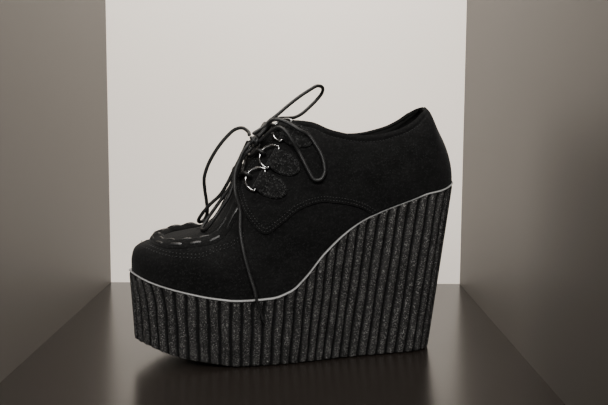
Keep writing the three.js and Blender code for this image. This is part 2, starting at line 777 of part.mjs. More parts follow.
function tab(frame) {
  const half = TAB_WIDTH / 2;
  const shape = new THREE.Shape();
  shape.moveTo(half, 0);
  for (let k = 0; k <= TAB_ROUND_STEPS; k += 1) {
    const angle = (Math.PI * k) / TAB_ROUND_STEPS;
    const back = TAB_STRAIGHT + (1 - TAB_STRAIGHT) * Math.sin(angle);
    shape.lineTo(half * TAB_FLARE * Math.cos(angle), -TAB_DEPTH * back);
  }
  shape.lineTo(-half, 0);
  const deep = HOLE_LENGTH / 2;
  const geometry = extruded(shape, 2 * deep);
  const basis = new THREE.Matrix4().makeBasis(frame.along, frame.reach, frame.out);
  const middle = inFrame(frame, 0, 0, -deep);
  const prism = solidFrom(geometry.applyMatrix4(basis).translate(middle.x, middle.y, middle.z));
  const fold = barCylinder(frame, FOLD_RADIUS, TAB_WIDTH, FOLD_SIDES);
  const hole = barCylinder(frame, RING_WIRE / 2 + GAP, HOLE_LENGTH, FOLD_SIDES);
  const body = upperForm(-GAP - TAB_THICKNESS).intersect(prism).add(fold);
  return body.subtract(hole).subtract(upperForm(-GAP, WELT_HEIGHT));
}

// Laces: crossings that hook over the rings, joined, then the knot, loops and end as cords
const LACE_LIFTS = [2.8, 0.6, 0.6, 2.8];
const LACE_SIDES = 8;
const STRAND_STEP = 1.9;
const HOOK_CLEAR = LACE_DIAMETER / 2 + RING_WIRE / 2 + 3.5 * GAP;
const HOOK_ANGLES = [-8, 40, 90, 140];

// A round cord through points, with a step every so many diameters
function laceTube(points, stepDiameters) {
  const path = new THREE.CatmullRomCurve3(points, false, "centripetal");
  const round = Array.from({ length: LACE_SIDES }, (_, k) => {
    const angle = (2 * Math.PI * k) / LACE_SIDES;
    return new THREE.Vector2(Math.cos(angle), Math.sin(angle)).multiplyScalar(LACE_DIAMETER / 2);
  });
  const steps = Math.round(path.getLength() / (LACE_DIAMETER * stepDiameters));
  const settings = { steps, extrudePath: path, bevelEnabled: false };
  return solidFrom(new THREE.ExtrudeGeometry(new THREE.Shape(round), settings));
}

// Points that rise through a ring and hook over its arc towards the throat
function ringHook(frame) {
  const arc = (angle) => {
    const radians = THREE.MathUtils.degToRad(angle);
    const b = RING_REACH - HOOK_CLEAR * Math.cos(radians);
    return inFrame(frame, 0, b, BAR_LIFT + HOOK_CLEAR * Math.sin(radians));
  };
  return HOOK_ANGLES.map(arc);
}

const HALVINGS = 24;

// A point over the upper's form at a place along and across the shoe
function overForm(x, y, lift) {
  let [low, high] = [0, 1];
  for (let i = 0; i < HALVINGS; i += 1) {
    const middle = (low + high) / 2;
    [low, high] = archPoint(x, middle, -lift).y < y ? [middle, high] : [low, middle];
  }
  return archPoint(x, (low + high) / 2, -lift);
}

// A strand between two rings, its ends inside their hooks
function strand(from, to) {
  const [first, last] = [ringHook(from).slice(-2), ringHook(to).slice(-2).reverse()];
  const [start, end] = [first[1], last[0]];
  const middle = LACE_LIFTS.map((lift, i) => {
    const flat = start.clone().lerp(end, (i + 1) / (LACE_LIFTS.length + 1));
    return overForm(flat.x, flat.y, lift);
  });
  return laceTube([...first, ...middle, ...last], STRAND_STEP);
}

function laceBars(frames) {
  const { outer, inner } = frames;
  const last = LACING_COUNT - 1;
  const strands = [...outer, ...inner].map((frame) => laceTube(ringHook(frame), STRAND_STEP));
  strands.push(strand(outer[0], inner[0]));
  for (let k = 0; k < last; k += 1) {
    strands.push(strand(outer[k], inner[k + 1]));
    strands.push(strand(inner[k], outer[k + 1]));
  }
  [outer, inner].forEach((side) => {
    const hook = ringHook(side[last]).slice(-2);
    const start = hook[1];
    const way = start.clone().sub(KNOT_PLACE).normalize();
    const end = KNOT_PLACE.clone().addScaledVector(way, KNOT_SIZE.x / 2 + 2 * GAP);
    strands.push(laceTube([...hook, end], STRAND_STEP));
  });
  return strands.reduce((a, b) => a.add(b));
}

function laceKnot() {
  const geometry = new THREE.SphereGeometry(0.5, 12, 8);
  geometry.scale(KNOT_SIZE.x, KNOT_SIZE.y, KNOT_SIZE.z);
  return solidFrom(geometry.translate(KNOT_PLACE.x, KNOT_PLACE.y, KNOT_PLACE.z));
}

// Free cords of the bow, each a route of places from the knot
const CORDS = {
  lace_loop_near: [
    [-30.6, -16.5, 165.8], [-24.9, -16, 171.9], [-22.8, -18.5, 176.1], [-19, -22, 178.1],
    [-14.3, -24.5, 177.4], [-8.9, -27, 174.7], [-2.9, -30, 170.8], [3.9, -29.9, 167.1],
    [8.6, -32.5, 160.2], [12.3, -34.6, 153.3], [14.1, -36.6, 146.1], [14.1, -38, 140.2],
    [11.1, -38.9, 135.3], [6.5, -38.7, 135], [3.2, -37.4, 139.8], [-0.6, -35.2, 147.8],
    [-4.5, -32.3, 156], [-8.7, -33, 162.6], [-12.8, -31.5, 169], [-17, -28.5, 172.5],
    [-21, -24.5, 171], [-29.8, -17.5, 162.3],
  ],
  lace_loop_far: [
    [-33.3, -11.2, 167.7], [-26.1, -8, 172], [-20.5, -4.5, 176.6], [-14.5, -3, 180.9],
    [-5.4, 0, 188], [3.5, 2, 194.6], [12.5, 4, 200.2], [19, 6.5, 203.4],
    [24.2, 10.5, 202.4], [25.1, 15, 198.4], [21.1, 16.5, 192.8], [15.3, 15.5, 187.3],
    [8.8, 13, 182.3], [2.1, 9.5, 179.4], [-4.8, 6.5, 178.9], [-11.6, 3.5, 178.6],
    [-19.1, 1, 176.3], [-31.2, -10.1, 166.6],
  ],
  lace_loop_front: [
    [-36.8, -12.7, 166.8], [-36.8, -9, 168.7], [-40.4, -4, 171.6], [-45.6, -1, 170.4],
    [-52.9, 1, 163.6], [-60.2, 3, 153.5], [-65.4, 5, 143.3], [-68, 6.5, 133.8],
    [-67.3, 9, 124.5], [-65.7, 12, 115], [-64.9, 15, 106.9], [-66.9, 17.3, 100.9],
    [-70.4, 15.5, 99.3], [-72.1, 11.5, 101], [-70.1, 7.5, 106], [-64.4, 4.5, 113.5],
    [-56.7, 2, 121.2], [-51.4, -1, 130.4], [-47.1, -2.5, 139.5], [-42.8, -4, 148.2],
    [-37.5, -9.3, 161.4],
  ],
  lace_loop_low: [
    [-38, -11.5, 158.7], [-43.2, -10, 148.1], [-47.1, -10.3, 139], [-49.8, -8, 129.5],
    [-55.9, -6, 120.1], [-62.1, -4.5, 111.1], [-67.3, -4, 103.6], [-70.7, -6, 98.9],
    [-71.6, -10.5, 97], [-69.4, -15, 97.8], [-64.8, -17, 104.1], [-58.9, -17, 112.5],
    [-52.9, -18, 122], [-49.2, -17.5, 131.5], [-45.8, -17, 141.3], [-41.6, -15.5, 151],
    [-35.7, -14.9, 157],
  ],
  lace_end_near: [
    [-37.5, -16.5, 160.4], [-42.7, -18.6, 154.1], [-45.8, -20.5, 147.4], [-48.8, -24, 141.1],
    [-50.1, -27.5, 133.4], [-49.8, -30.5, 125], [-46.9, -31.9, 113.8], [-47.4, -36.6, 98.9],
    [-45.5, -42.3, 82.9], [-42.6, -45, 70.6], [-38.6, -48.3, 56.1], [-37.5, -49.2, 49.5],
    [-35.5, -49.3, 43.5], [-32.2, -48.8, 35],
  ],
};
const CORD_STEP = 3.5;

const finish = (color, roughness, metalness = 0) => ({ color, roughness, metalness });
const SUEDE = finish(0x1a1a1b, 0.95);
const RUBBER = finish(0x242424, 0.8);
const GREY_RUBBER = finish(0x8c8c88, 0.7);
const LINING = finish(0x161616, 0.9);
const CHROME = finish(0xd8d8d8, 0.15, 1);
const WAXED = finish(0x161616, 0.45);

const shoe = new THREE.Group();

function place(name, solid, look) {
  const geometry = geometryOf(solid.simplify(FLAT_WITHIN));
  const mesh = new THREE.Mesh(geometry, new THREE.MeshStandardMaterial(look));
  mesh.name = name;
  shoe.add(mesh);
}

place("outsole", outsole(), RUBBER);
place("wedge_sole", wedgeSole(), RUBBER);
place("welt", welt(), GREY_RUBBER);
place("insole", insole(), LINING);
place("upper", upper(), SUEDE);
place("tongue", tongue(), SUEDE);
place("apron_braid", apronBraid(), SUEDE);

const frames = { outer: [], inner: [] };
for (let number = 0; number < LACING_COUNT; number += 1) {
  [["outer", "lateral"], ["inner", "medial"]].forEach(([side, word]) => {
    const frame = barFrame(number, side);
    frames[side].push(frame);
    place(`tab_${word}_${number + 1}`, tab(frame), SUEDE);
    place(`d_ring_${word}_${number + 1}`, dRing(frame), CHROME);
  });
}

place("lace_bars", laceBars(frames), WAXED);
place("lace_knot", laceKnot(), WAXED);
Object.entries(CORDS).forEach(([name, route]) => {
  place(name, laceTube(route.map((p) => new THREE.Vector3(...p)), CORD_STEP), WAXED);
});

export default shoe;
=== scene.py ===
"""A left platform shoe for a woman, dressed for the photograph: a black suede derby on a ribbed
rubber wedge. Shapes are worked out in millimetres, +Z up, toe towards -X, outer side towards -Y."""

import functools
import math

import bmesh
import bpy
import numpy as np
from mathutils import Matrix, Vector


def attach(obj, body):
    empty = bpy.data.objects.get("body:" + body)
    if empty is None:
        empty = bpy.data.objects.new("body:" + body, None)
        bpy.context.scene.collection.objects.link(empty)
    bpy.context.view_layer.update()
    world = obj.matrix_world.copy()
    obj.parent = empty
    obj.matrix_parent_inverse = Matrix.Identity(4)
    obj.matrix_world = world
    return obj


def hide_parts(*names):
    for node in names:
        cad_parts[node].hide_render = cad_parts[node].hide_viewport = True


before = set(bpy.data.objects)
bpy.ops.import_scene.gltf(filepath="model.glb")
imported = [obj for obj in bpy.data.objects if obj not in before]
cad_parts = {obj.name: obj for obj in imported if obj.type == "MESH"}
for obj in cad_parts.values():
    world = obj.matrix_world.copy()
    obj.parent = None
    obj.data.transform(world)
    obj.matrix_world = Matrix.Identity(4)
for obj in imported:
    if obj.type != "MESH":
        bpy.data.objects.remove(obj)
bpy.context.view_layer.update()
MM = 0.001

# Driving sizes, as in the part's source
SHOE_LENGTH = 249
BALL_WIDTH = 90
PLATFORM_HEIGHT = 50
HEEL_HEIGHT = 130.7
TOE_SPRING = 15.5
TOE_INSET = 3
HEEL_INSET = 17.5
SIDE_INSET = 3
RIB_COUNT = 72
RIB_DEPTH = 1.8
RIB_FADE = 4.5
TREAD_THICKNESS = 2.8
TREAD_DROP = 0.8
TREAD_MARGIN = 4
WELT_HEIGHT = 2.6
WELT_WIDTH = 12
INSOLE_THICKNESS = 3
INSOLE_CLEARANCE = 0.9
UPPER_SETBACK = 0.5
UPPER_WALL = 2
INSTEP_RISE = 126
QUARTER_STEP = 1
TONGUE_WIDTH = 40
THROAT_WIDTH = 25
THROAT_START = 0.244
THROAT_END = 0.5
BRAID_WIDTH = 11
STRIP_HEIGHT = 0.7
STRIP_LENGTH = 8
STRIP_PITCH = 13.5
STRIP_SPACING = 2.7
RING_WIRE = 2.2
RING_LENGTH = 20.5
RING_REACH = 11
TAB_WIDTH = 14.4
TAB_DEPTH = 21
TAB_THICKNESS = 1.6
LACE_DIAMETER = 2.7
GAP = 0.3
SEAT_GAP = 0.45
INSOLE_SEAT = 0.6
HEEL_LEAN_START, HEEL_LEAN_FULL, TOE_LEAN_START = 0.16, 0.76, 0.4

# Sole outline: place along the length, outer and inner half width as shares of the ball width
OUTLINE = [
    (0, -0.009, 0.009),
    (0.035, 0.213, 0.242),
    (0.11, 0.369, 0.409),
    (0.22, 0.463, 0.492),
    (0.36, 0.502, 0.487),
    (0.52, 0.469, 0.403),
    (0.68, 0.402, 0.359),
    (0.82, 0.369, 0.37),
    (0.93, 0.335, 0.34),
    (0.985, 0.215, 0.23),
    (1, -0.009, 0.009),
]

# Side view of the sole: place, lift of the welt, spring of the underside
SOLE_PROFILE = [
    (0, 0.211, 1),
    (0.045, 0.157, 0.86),
    (0.1, 0.108, 0.57),
    (0.16, 0.066, 0.35),
    (0.221, 0.029, 0.18),
    (0.302, 0.002, 0),
    (0.394, 0.012, 0),
    (0.455, 0.069, 0),
    (0.495, 0.174, 0),
    (0.556, 0.389, 0),
    (0.622, 0.563, 0),
    (0.689, 0.685, 0),
    (0.76, 0.772, 0),
    (0.841, 0.853, 0),
    (0.89, 0.908, 0),
    (0.94, 0.936, 0),
    (1, 1, 0),
]

# Sections of the upper: place, top, side power, top power, shift of the ridge
UPPER_SECTIONS = [
    (0, 0.075, 3.0, 2.2, 0),
    (0.006, 0.128, 3.0, 2.4, 0.01),
    (0.012, 0.15, 3.1, 2.6, 0.02),
    (0.035, 0.191, 3.3, 2.8, 0.035),
    (0.07, 0.228, 3.5, 3.1, 0.05),
    (0.119, 0.277, 3.7, 3.4, 0.06),
    (0.18, 0.322, 3.6, 3.4, 0.065),
    (0.226, 0.36, 3.0, 3.0, 0.06),
    (0.251, 0.408, 2.5, 2.5, 0.055),
    (0.28, 0.519, 2.1, 2.1, 0.05),
    (0.319, 0.69, 1.9, 1.9, 0.04),
    (0.359, 0.807, 1.8, 1.8, 0.03),
    (0.4, 0.905, 1.8, 1.8, 0.02),
    (0.439, 0.975, 1.85, 1.8, 0.01),
    (0.48, 0.995, 2, 1.9, 0.005),
    (0.526, 0.93, 2.2, 2, 0),
    (0.587, 0.8, 2.4, 2, 0),
    (0.658, 0.685, 2.4, 2, 0),
    (0.76, 0.585, 2.4, 2, 0),
    (0.851, 0.53, 2.4, 2, 0),
    (0.88, 0.52, 2.4, 2, 0),
    (0.917, 0.497, 2.4, 2, 0),
    (0.946, 0.38, 2.4, 2.1, 0),
    (0.976, 0.248, 2.3, 2.2, 0),
    (0.99, 0.15, 2.2, 2.4, 0),
    (1, 0.03, 2.2, 2.4, 0),
]

# Collar line in side view: place, rise above the welt
COLLAR_LINE = [
    (0.432, 0.978),
    (0.468, 0.951),
    (0.5, 0.891),
    (0.54, 0.785),
    (0.581, 0.669),
    (0.62, 0.586),
    (0.661, 0.52),
    (0.701, 0.476),
    (0.741, 0.451),
    (0.781, 0.441),
    (0.822, 0.441),
    (0.861, 0.456),
    (0.885, 0.476),
    (0.93, 0.497),
]

# Front and lower edge of the quarters in side view
QUARTER_EDGE = [
    (0.434, 1.03),
    (0.377, 0.87),
    (0.32, 0.68),
    (0.311, 0.6),
    (0.327, 0.479),
    (0.377, 0.365),
    (0.429, 0.4),
    (0.481, 0.418),
    (0.541, 0.327),
    (0.587, 0.234),
    (0.633, 0.15),
    (0.678, 0.069),
    (0.725, -0.03),
]

# Middle line of the apron braid: place, way to the side as a share of the ball width
BRAID_PATH = [
    (0.335, -0.235),
    (0.27, -0.262),
    (0.19, -0.275),
    (0.125, -0.225),
    (0.09, -0.11),
    (0.082, 0.02),
    (0.09, 0.15),
    (0.125, 0.265),
    (0.19, 0.315),
    (0.24, 0.31),
    (0.285, 0.29),
]


# Lines and columns


def column(rows, index):
    """Smooth reading of one column of a table between its rows."""
    at = np.array([row[0] for row in rows], float)
    value = np.array([row[index] for row in rows], float)
    step = np.diff(value) / np.diff(at)
    slope = np.zeros(len(at))
    slope[0], slope[-1] = step[0], step[-1]
    product = step[:-1] * step[1:]
    both = np.where(product > 0, step[:-1] + step[1:], 1)
    slope[1:-1] = np.where(product > 0, 2 * product / both, 0)

    def read(share):
        s = np.clip(share, at[0], at[-1])
        i = np.clip(np.searchsorted(at, s) - 1, 0, len(at) - 2)
        span = at[i + 1] - at[i]
        t = (s - at[i]) / span
        low = value[i] * (1 + 2 * t) * (1 - t) ** 2 + slope[i] * span * t * (1 - t) ** 2
        high = value[i + 1] * t**2 * (3 - 2 * t) + slope[i + 1] * span * t**2 * (t - 1)
        return low + high

    return read


def centripetal(points, closed=False, steps=12):
    """A smooth line through points, evenly smooth where they lie unevenly apart."""
    p = np.array(points, float)
    n = len(p)
    line = []
    for i in range(n if closed else n - 1):
        p1, p2 = p[i], p[(i + 1) % n]
        p0 = p[i - 1] if closed or i > 0 else 2 * p1 - p2
        p3 = p[(i + 2) % n] if closed or i + 2 < n else 2 * p2 - p1
        pairs = ((p0, p1), (p1, p2), (p2, p3))
        d0, d1, d2 = (max(np.linalg.norm(b - a), 1e-6) ** 0.5 for a, b in pairs)
        t1 = ((p1 - p0) / d0 - (p2 - p0) / (d0 + d1) + (p2 - p1) / d1) * d1
        t2 = ((p2 - p1) / d1 - (p3 - p1) / (d1 + d2) + (p3 - p2) / d2) * d1
        t = (np.arange(steps) / steps)[:, None]
        bend = -3 * p1 + 3 * p2 - 2 * t1 - t2
        twist = 2 * p1 - 2 * p2 + t1 + t2
        line.append(p1 + t1 * t + bend * t**2 + twist * t**3)
    if not closed:
        line.append(p[-1:])
    return np.concatenate(line)


def spline(points, steps=24):
    """A smooth line through points laid in one plane."""
    p = np.array(points, float)
    line = []
    for i in range(len(p) - 1):
        p0, p1, p2, p3 = p[max(i - 1, 0)], p[i], p[i + 1], p[min(i + 2, len(p) - 1)]
        v1, v2 = (p2 - p0) / 2, (p3 - p1) / 2
        t = (np.arange(steps) / steps)[:, None]
        bend = -3 * p1 + 3 * p2 - 2 * v1 - v2
        twist = 2 * p1 - 2 * p2 + v1 + v2
        line.append(p1 + v1 * t + bend * t**2 + twist * t**3)
    return np.concatenate([*line, p[-1:]])


def run_length(line):
    return np.concatenate([[0], np.cumsum(np.linalg.norm(np.diff(line, axis=0), axis=1))])


def spaced(line, pitch=None, count=None):
    """Points at an even spacing along a line."""
    arc = run_length(line)
    n = count or max(2, int(round(arc[-1] / pitch)) + 1)
    s = np.linspace(0, arc[-1], n)
    return np.stack([np.interp(s, arc, line[:, k]) for k in range(line.shape[1])], 1)


def unit(v):
    v = np.asarray(v, float)
    return v / np.maximum(np.linalg.norm(v, axis=-1, keepdims=True), 1e-12)


def ease(low, high, x):
    t = np.clip((x - low) / (high - low), 0, 1)
    return t * t * (3 - 2 * t)


lift_at = column(SOLE_PROFILE, 1)
spring_at = column(SOLE_PROFILE, 2)


def share_at(x):
    return np.asarray(x) / SHOE_LENGTH + 0.5


def place_at(share):
    return (np.asarray(share) - 0.5) * SHOE_LENGTH


def welt_top(x):
    return PLATFORM_HEIGHT + (HEEL_HEIGHT - PLATFORM_HEIGHT) * lift_at(share_at(x))


def underside(x):
    return TOE_SPRING * spring_at(share_at(x))


outline_rows = [(place_at(a), -outer * BALL_WIDTH) for a, outer, _ in OUTLINE]
outline_rows += [(place_at(a), inner * BALL_WIDTH) for a, _, inner in OUTLINE[-2:0:-1]]
outline_line = centripetal(outline_rows, closed=True, steps=80)
outline_line = np.concatenate([outline_line, outline_line[:1]])
outline_arc = run_length(outline_line)
outline_way = unit(np.gradient(outline_line, outline_arc, axis=0))
outline_way[0] = outline_way[-1] = unit(outline_way[0] + outline_way[-1])


def outline_point(u, inset):
    """A point of the sole outline moved inwards, as x and y."""
    s = (np.asarray(u) % 1) * outline_arc[-1]
    x, y = (np.interp(s, outline_arc, outline_line[:, k]) for k in (0, 1))
    tx, ty = (np.interp(s, outline_arc, outline_way[:, k]) for k in (0, 1))
    return x - ty * inset, y + tx * inset


def bottom_of(x, y):
    """Place on the narrower bottom outline under a point of the top outline."""
    at = share_at(x)
    shift = HEEL_INSET * ease(HEEL_LEAN_START, HEEL_LEAN_FULL, at) * welt_top(x) / HEEL_HEIGHT
    toewards = np.maximum(0, 1 - at / TOE_LEAN_START)
    return x + TOE_INSET * toewards - shift, y * (1 - 2 * SIDE_INSET / BALL_WIDTH)


@functools.lru_cache(maxsize=None)
def plan(inset):
    """Half widths of the outline moved inwards: start, end, reading of the outer and inner side."""
    x, y = outline_point(np.arange(1600) / 1600, inset)
    tip, back = int(np.argmin(x)), int(np.argmax(x))
    order = np.arange(1600)
    outer = (tip + order)[: (back - tip) % 1600 + 1] % 1600
    inner = (back + order)[: (tip - back) % 1600 + 1] % 1600

    def side(chosen):
        rows = sorted(zip(x[chosen], y[chosen]))
        xs, ys = np.array(rows).T
        return lambda at: np.interp(at, xs, ys)

    return x[tip], x[back], side(outer), side(inner)


section_top, section_side, section_crown, section_ridge = (column(UPPER_SECTIONS, k) for k in (1, 2, 3, 4))


def arch(x, turn, inset):
    """Points of the upper's form: turn runs from 0 on the outer side over the ridge to 1."""
    x, turn = np.broadcast_arrays(np.asarray(x, float), np.asarray(turn, float))
    start, end, outer, inner = plan(UPPER_SETBACK + inset)
    share = (x - start) / (end - start)
    height = np.maximum(section_top(share) * INSTEP_RISE - inset, 1)
    out = np.abs(np.cos(np.pi * turn)) ** (2 / section_side(share))
    up = np.abs(np.sin(np.pi * turn)) ** (2 / section_crown(share))
    middle = section_ridge(share) * BALL_WIDTH * up
    edge = np.where(turn < 0.5, outer(x), inner(x))
    return np.stack([x, middle + (edge - middle) * out, welt_top(x) + SEAT_GAP + height * up], -1)


def turn_at_height(x, z, inset, side):
    """The turn where the form reaches a height, at most the ridge."""
    start, end, _, _ = plan(UPPER_SETBACK + inset)
    share = (x - start) / (end - start)
    height = np.maximum(section_top(share) * INSTEP_RISE - inset, 1)
    up = np.clip((z - welt_top(x) - SEAT_GAP) / height, 0, 1)
    turn = np.arcsin(up ** (section_crown(share) / 2)) / np.pi
    return turn if side == "outer" else 1 - turn


def turn_across(x, y, inset):
    """The turn where the form reaches a place across the shoe."""
    x, y = np.broadcast_arrays(np.asarray(x, float), np.asarray(y, float))
    low, high = np.full(x.shape, 0.002), np.full(x.shape, 0.998)
    for _ in range(26):
        middle = (low + high) / 2
        short = arch(x, middle, inset)[..., 1] < y
        low, high = np.where(short, middle, low), np.where(short, high, middle)
    return (low + high) / 2


def over_form(x, y, inset, lift=0.0):
    """Points over the form at places seen from above, and the way out of it."""
    x, y = np.broadcast_arrays(np.asarray(x, float), np.asarray(y, float))
    step = 0.4

    def at(a, b):
        return arch(a, turn_across(a, b, inset), inset)

    here = at(x, y)
    out = unit(np.cross(at(x + step, y) - at(x - step, y), at(x, y + step) - at(x, y - step)))
    return here + out * np.asarray(lift)[..., None], out


def on_side(x, z, side, inset, lift=0.0):
    """Points on one side of the form at places in side view, and the way out of it."""
    x, z = np.broadcast_arrays(np.asarray(x, float), np.asarray(z, float))
    step = 0.4

    def at(a, b):
        point = arch(a, turn_at_height(a, b, inset, side), inset)
        return np.stack([point[..., 0], point[..., 1], b], -1)

    here = at(x, z)
    out = unit(np.cross(at(x + step, z) - at(x - step, z), at(x, z + step) - at(x, z - step)))
    wrong = (out[..., 1] > 0) == (side == "outer")
    out = np.where(wrong[..., None], -out, out)
    return here + out * np.asarray(lift)[..., None], out


def side_line(rows):
    """A line in side view from shares of the length and rises above the welt."""
    return np.array([(place_at(a), welt_top(place_at(a)) + rise * INSTEP_RISE) for a, rise in rows])


collar_line = spline(side_line(COLLAR_LINE))
quarter_line = spline(side_line(QUARTER_EDGE))


# Thickness of each sheet's wall as it is drawn
TREAD_SHEET = 2.0
SOCK_SHEET = 2.2
VAMP_SHEET = 1.7
QUARTER_SHEET = 2.2
TONGUE_SHEET = 2.2
BAND_SHEET = 0.6
TAB_SHEET = 1.1


# Mesh building


def new_bm():
    bm = bmesh.new()
    bm.loops.layers.uv.new("laid")
    return bm


def add_grid(bm, points, across=1.0, along=1.0, look=0):
    """A grid of faces laid over an array of points, its own map measured in millimetres."""
    nu, nv = points.shape[0] - 1, points.shape[1] - 1
    made = bmesh.ops.create_grid(bm, x_segments=nu, y_segments=nv, size=0.5, calc_uvs=True)
    uv = bm.loops.layers.uv.active
    faces = set()
    for vert in made["verts"]:
        i, j = round((vert.co.x + 0.5) * nu), round((vert.co.y + 0.5) * nv)
        vert.co = points[i, j] * MM
        faces.update(vert.link_faces)
    for face in faces:
        face.material_index = look
        for loop in face.loops:
            loop[uv].uv = (loop[uv].uv.x * across, loop[uv].uv.y * along)
    return made["verts"]


def weld(bm, distance=0.01, face_out=True):
    bmesh.ops.remove_doubles(bm, verts=bm.verts[:], dist=distance * MM)
    bmesh.ops.dissolve_degenerate(bm, dist=distance * MM * 0.1, edges=bm.edges[:])
    if face_out:
        bmesh.ops.recalc_face_normals(bm, faces=bm.faces[:])


def top_up(bm):
    """Turns all the faces over where the highest one looks down."""
    face = max(bm.faces, key=lambda f: f.calc_center_median().z)
    if face.normal.z < 0:
        bmesh.ops.reverse_faces(bm, faces=bm.faces[:])


def finish_piece(name, bm, looks, nodes=()):
    """The bmesh as an object that rides on the shoe."""
    mesh = bpy.data.meshes.new(name)
    for face in bm.faces:
        face.smooth = True
    bm.to_mesh(mesh)
    bm.free()
    piece = bpy.data.objects.new(name, mesh)
    bpy.context.scene.collection.objects.link(piece)
    for look in looks:
        mesh.materials.append(look)
    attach(piece, "root")
    if nodes:
        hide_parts(*nodes)
    return piece


def wall(piece, thickness, inner_look=0, rim_look=0, edge=0.3, even=True):
    """A wall inwards from the piece's outer face, with softened edges."""
    solid = piece.modifiers.new("wall", "SOLIDIFY")
    solid.thickness = thickness * MM
    solid.offset = -1
    solid.use_even_offset = even
    solid.thickness_clamp = 0
    solid.material_offset = inner_look
    solid.material_offset_rim = rim_look
    if edge:
        soft = piece.modifiers.new("soft edge", "BEVEL")
        soft.width = edge * MM
        soft.segments = 2
        soft.limit_method = "ANGLE"
        soft.angle_limit = math.radians(50)
        soft.harden_normals = False
    return piece


def carried(line, closed=False):
    """Two directions across a line at each of its points, turned as little as possible."""
    n = len(line)
    way = unit(np.roll(line, -1, 0) - np.roll(line, 1, 0)) if closed else unit(np.gradient(line, axis=0))
    first = np.cross(way[0], (0, 0, 1.0))
    if np.linalg.norm(first) < 0.1:
        first = np.cross(way[0], (0, 1.0, 0))
    side = [unit(first)]
    for i in range(1, n):
        side.append(unit(side[-1] - way[i] * np.dot(side[-1], way[i])))
    side = np.array(side)
    return side, np.cross(way, side)


def add_tube(bm, line, radius, sides=14, closed=False):
    """A round cord along a line of points, closed as a ring or with rounded ends."""
    line = np.asarray(line, float)
    radius = np.broadcast_to(np.asarray(radius, float), (len(line),)).copy()
    a, b = carried(line, closed)
    if closed:
        way = unit(line[1] - line[-1])
        spare = unit(a[-1] - way * np.dot(a[-1], way))
        turn = math.atan2(np.dot(np.cross(spare, a[0]), way), np.dot(spare, a[0]))
        angle = np.linspace(0, turn, len(line))[:, None]
        a, b = a * np.cos(angle) + b * np.sin(angle), b * np.cos(angle) - a * np.sin(angle)
        line, a, b, radius = (np.concatenate([v, v[:1]]) for v in (line, a, b, radius))
    else:
        ends = np.array([0.0, 0.45, 0.8])
        back = np.sqrt(1 - ends**2)
        w0, w1 = unit(line[1] - line[0]), unit(line[-1] - line[-2])
        head = [line[0] - w0 * radius[0] * k * 0.8 for k in back]
        tail = [line[-1] + w1 * radius[-1] * k * 0.8 for k in back[::-1]]
        line = np.concatenate([head, line, tail])
        radius = np.concatenate([ends * radius[0], radius, ends[::-1] * radius[-1]])
        a, b = (np.concatenate([[v[0]] * 3, v, [v[-1]] * 3]) for v in (a, b))
    turn = np.linspace(0, 2 * np.pi, sides + 1)[:, None, None]
    ring = np.cos(turn) * a[None] + np.sin(turn) * b[None]
    points = line[None] + ring * radius[None, :, None]
    add_grid(bm, points, across=2 * np.pi * radius.max(), along=run_length(line)[-1])


def turned(origin, along, out, size):
    """A matrix that lays a small shape along a direction on a surface."""
    x = unit(along)
    z = unit(out - x * np.dot(out, x))
    y = np.cross(z, x)
    m = Matrix.Identity(4)
    for k, (axis, s) in enumerate(((x, size[0]), (y, size[1]), (z, size[2]))):
        for r in range(3):
            m[r][k] = axis[r] * s * MM
    for r in range(3):
        m[r][3] = origin[r] * MM
    return m


STITCH_WIDTH = 0.5
STITCH_HEIGHT = 0.3
STITCH_LIFT = 0.05
STITCH_PROBE = 0.3


def add_stitches(bm, line, out, length, pitch, width=STITCH_WIDTH, slant=0.0):
    """Thread stitches along a line on a surface, each a small rounded bar."""
    arc = run_length(line)
    count = max(1, int(arc[-1] / pitch))
    for k in range(count):
        s = (k + 0.5) * arc[-1] / count
        near = (s - STITCH_PROBE, s, s + STITCH_PROBE)
        back, here, ahead = (np.array([np.interp(t, arc, line[:, c]) for c in range(3)]) for t in near)
        up = unit(np.array([np.interp(s, arc, out[:, c]) for c in range(3)]))
        way = unit(ahead - back)
        if slant:
            way = way * math.cos(slant) + np.cross(up, way) * math.sin(slant)
        matrix = turned(here + up * STITCH_LIFT, way, up, (length / 2, width / 2, STITCH_HEIGHT))
        bmesh.ops.create_icosphere(bm, subdivisions=1, radius=1, matrix=matrix)


# Finishes


def add_node(tree, kind, inputs=None, **settings):
    made = tree.nodes.new(kind)
    for key, value in settings.items():
        setattr(made, key, value)
    for key, value in (inputs or {}).items():
        socket = made.inputs[key]
        if isinstance(value, bpy.types.NodeSocket):
            tree.links.new(value, socket)
        else:
            socket.default_value = value
    return made


def new_group(name, inputs, outputs):
    """A node group with named number inputs and outputs."""
    tree = bpy.data.node_groups.new(name, "ShaderNodeTree")
    kind = "NodeSocketFloat"
    for label, value in inputs:
        socket = tree.interface.new_socket(name=label, in_out="INPUT", socket_type=kind)
        socket.default_value = value
    for label in outputs:
        tree.interface.new_socket(name=label, in_out="OUTPUT", socket_type=kind)
    return tree, tree.nodes.new("NodeGroupInput").outputs, tree.nodes.new("NodeGroupOutput").inputs


def maths(tree, operation, a, b=0.5, clamp=False):
    return add_node(tree, "ShaderNodeMath", {0: a, 1: b}, operation=operation, use_clamp=clamp).outputs[0]


def ranged(tree, value, low, high, to_low=0.0, to_high=1.0):
    made = add_node(tree, "ShaderNodeMapRange", {"Value": value}, interpolation_type="SMOOTHSTEP")
    for key, number in (("From Min", low), ("From Max", high), ("To Min", to_low), ("To Max", to_high)):
        made.inputs[key].default_value = number
    return made.outputs[0]


def noise(tree, where, scale, detail, rough):
    inputs = {"Vector": where, "Scale": scale, "Detail": detail, "Roughness": rough}
    return add_node(tree, "ShaderNodeTexNoise", inputs).outputs[0]


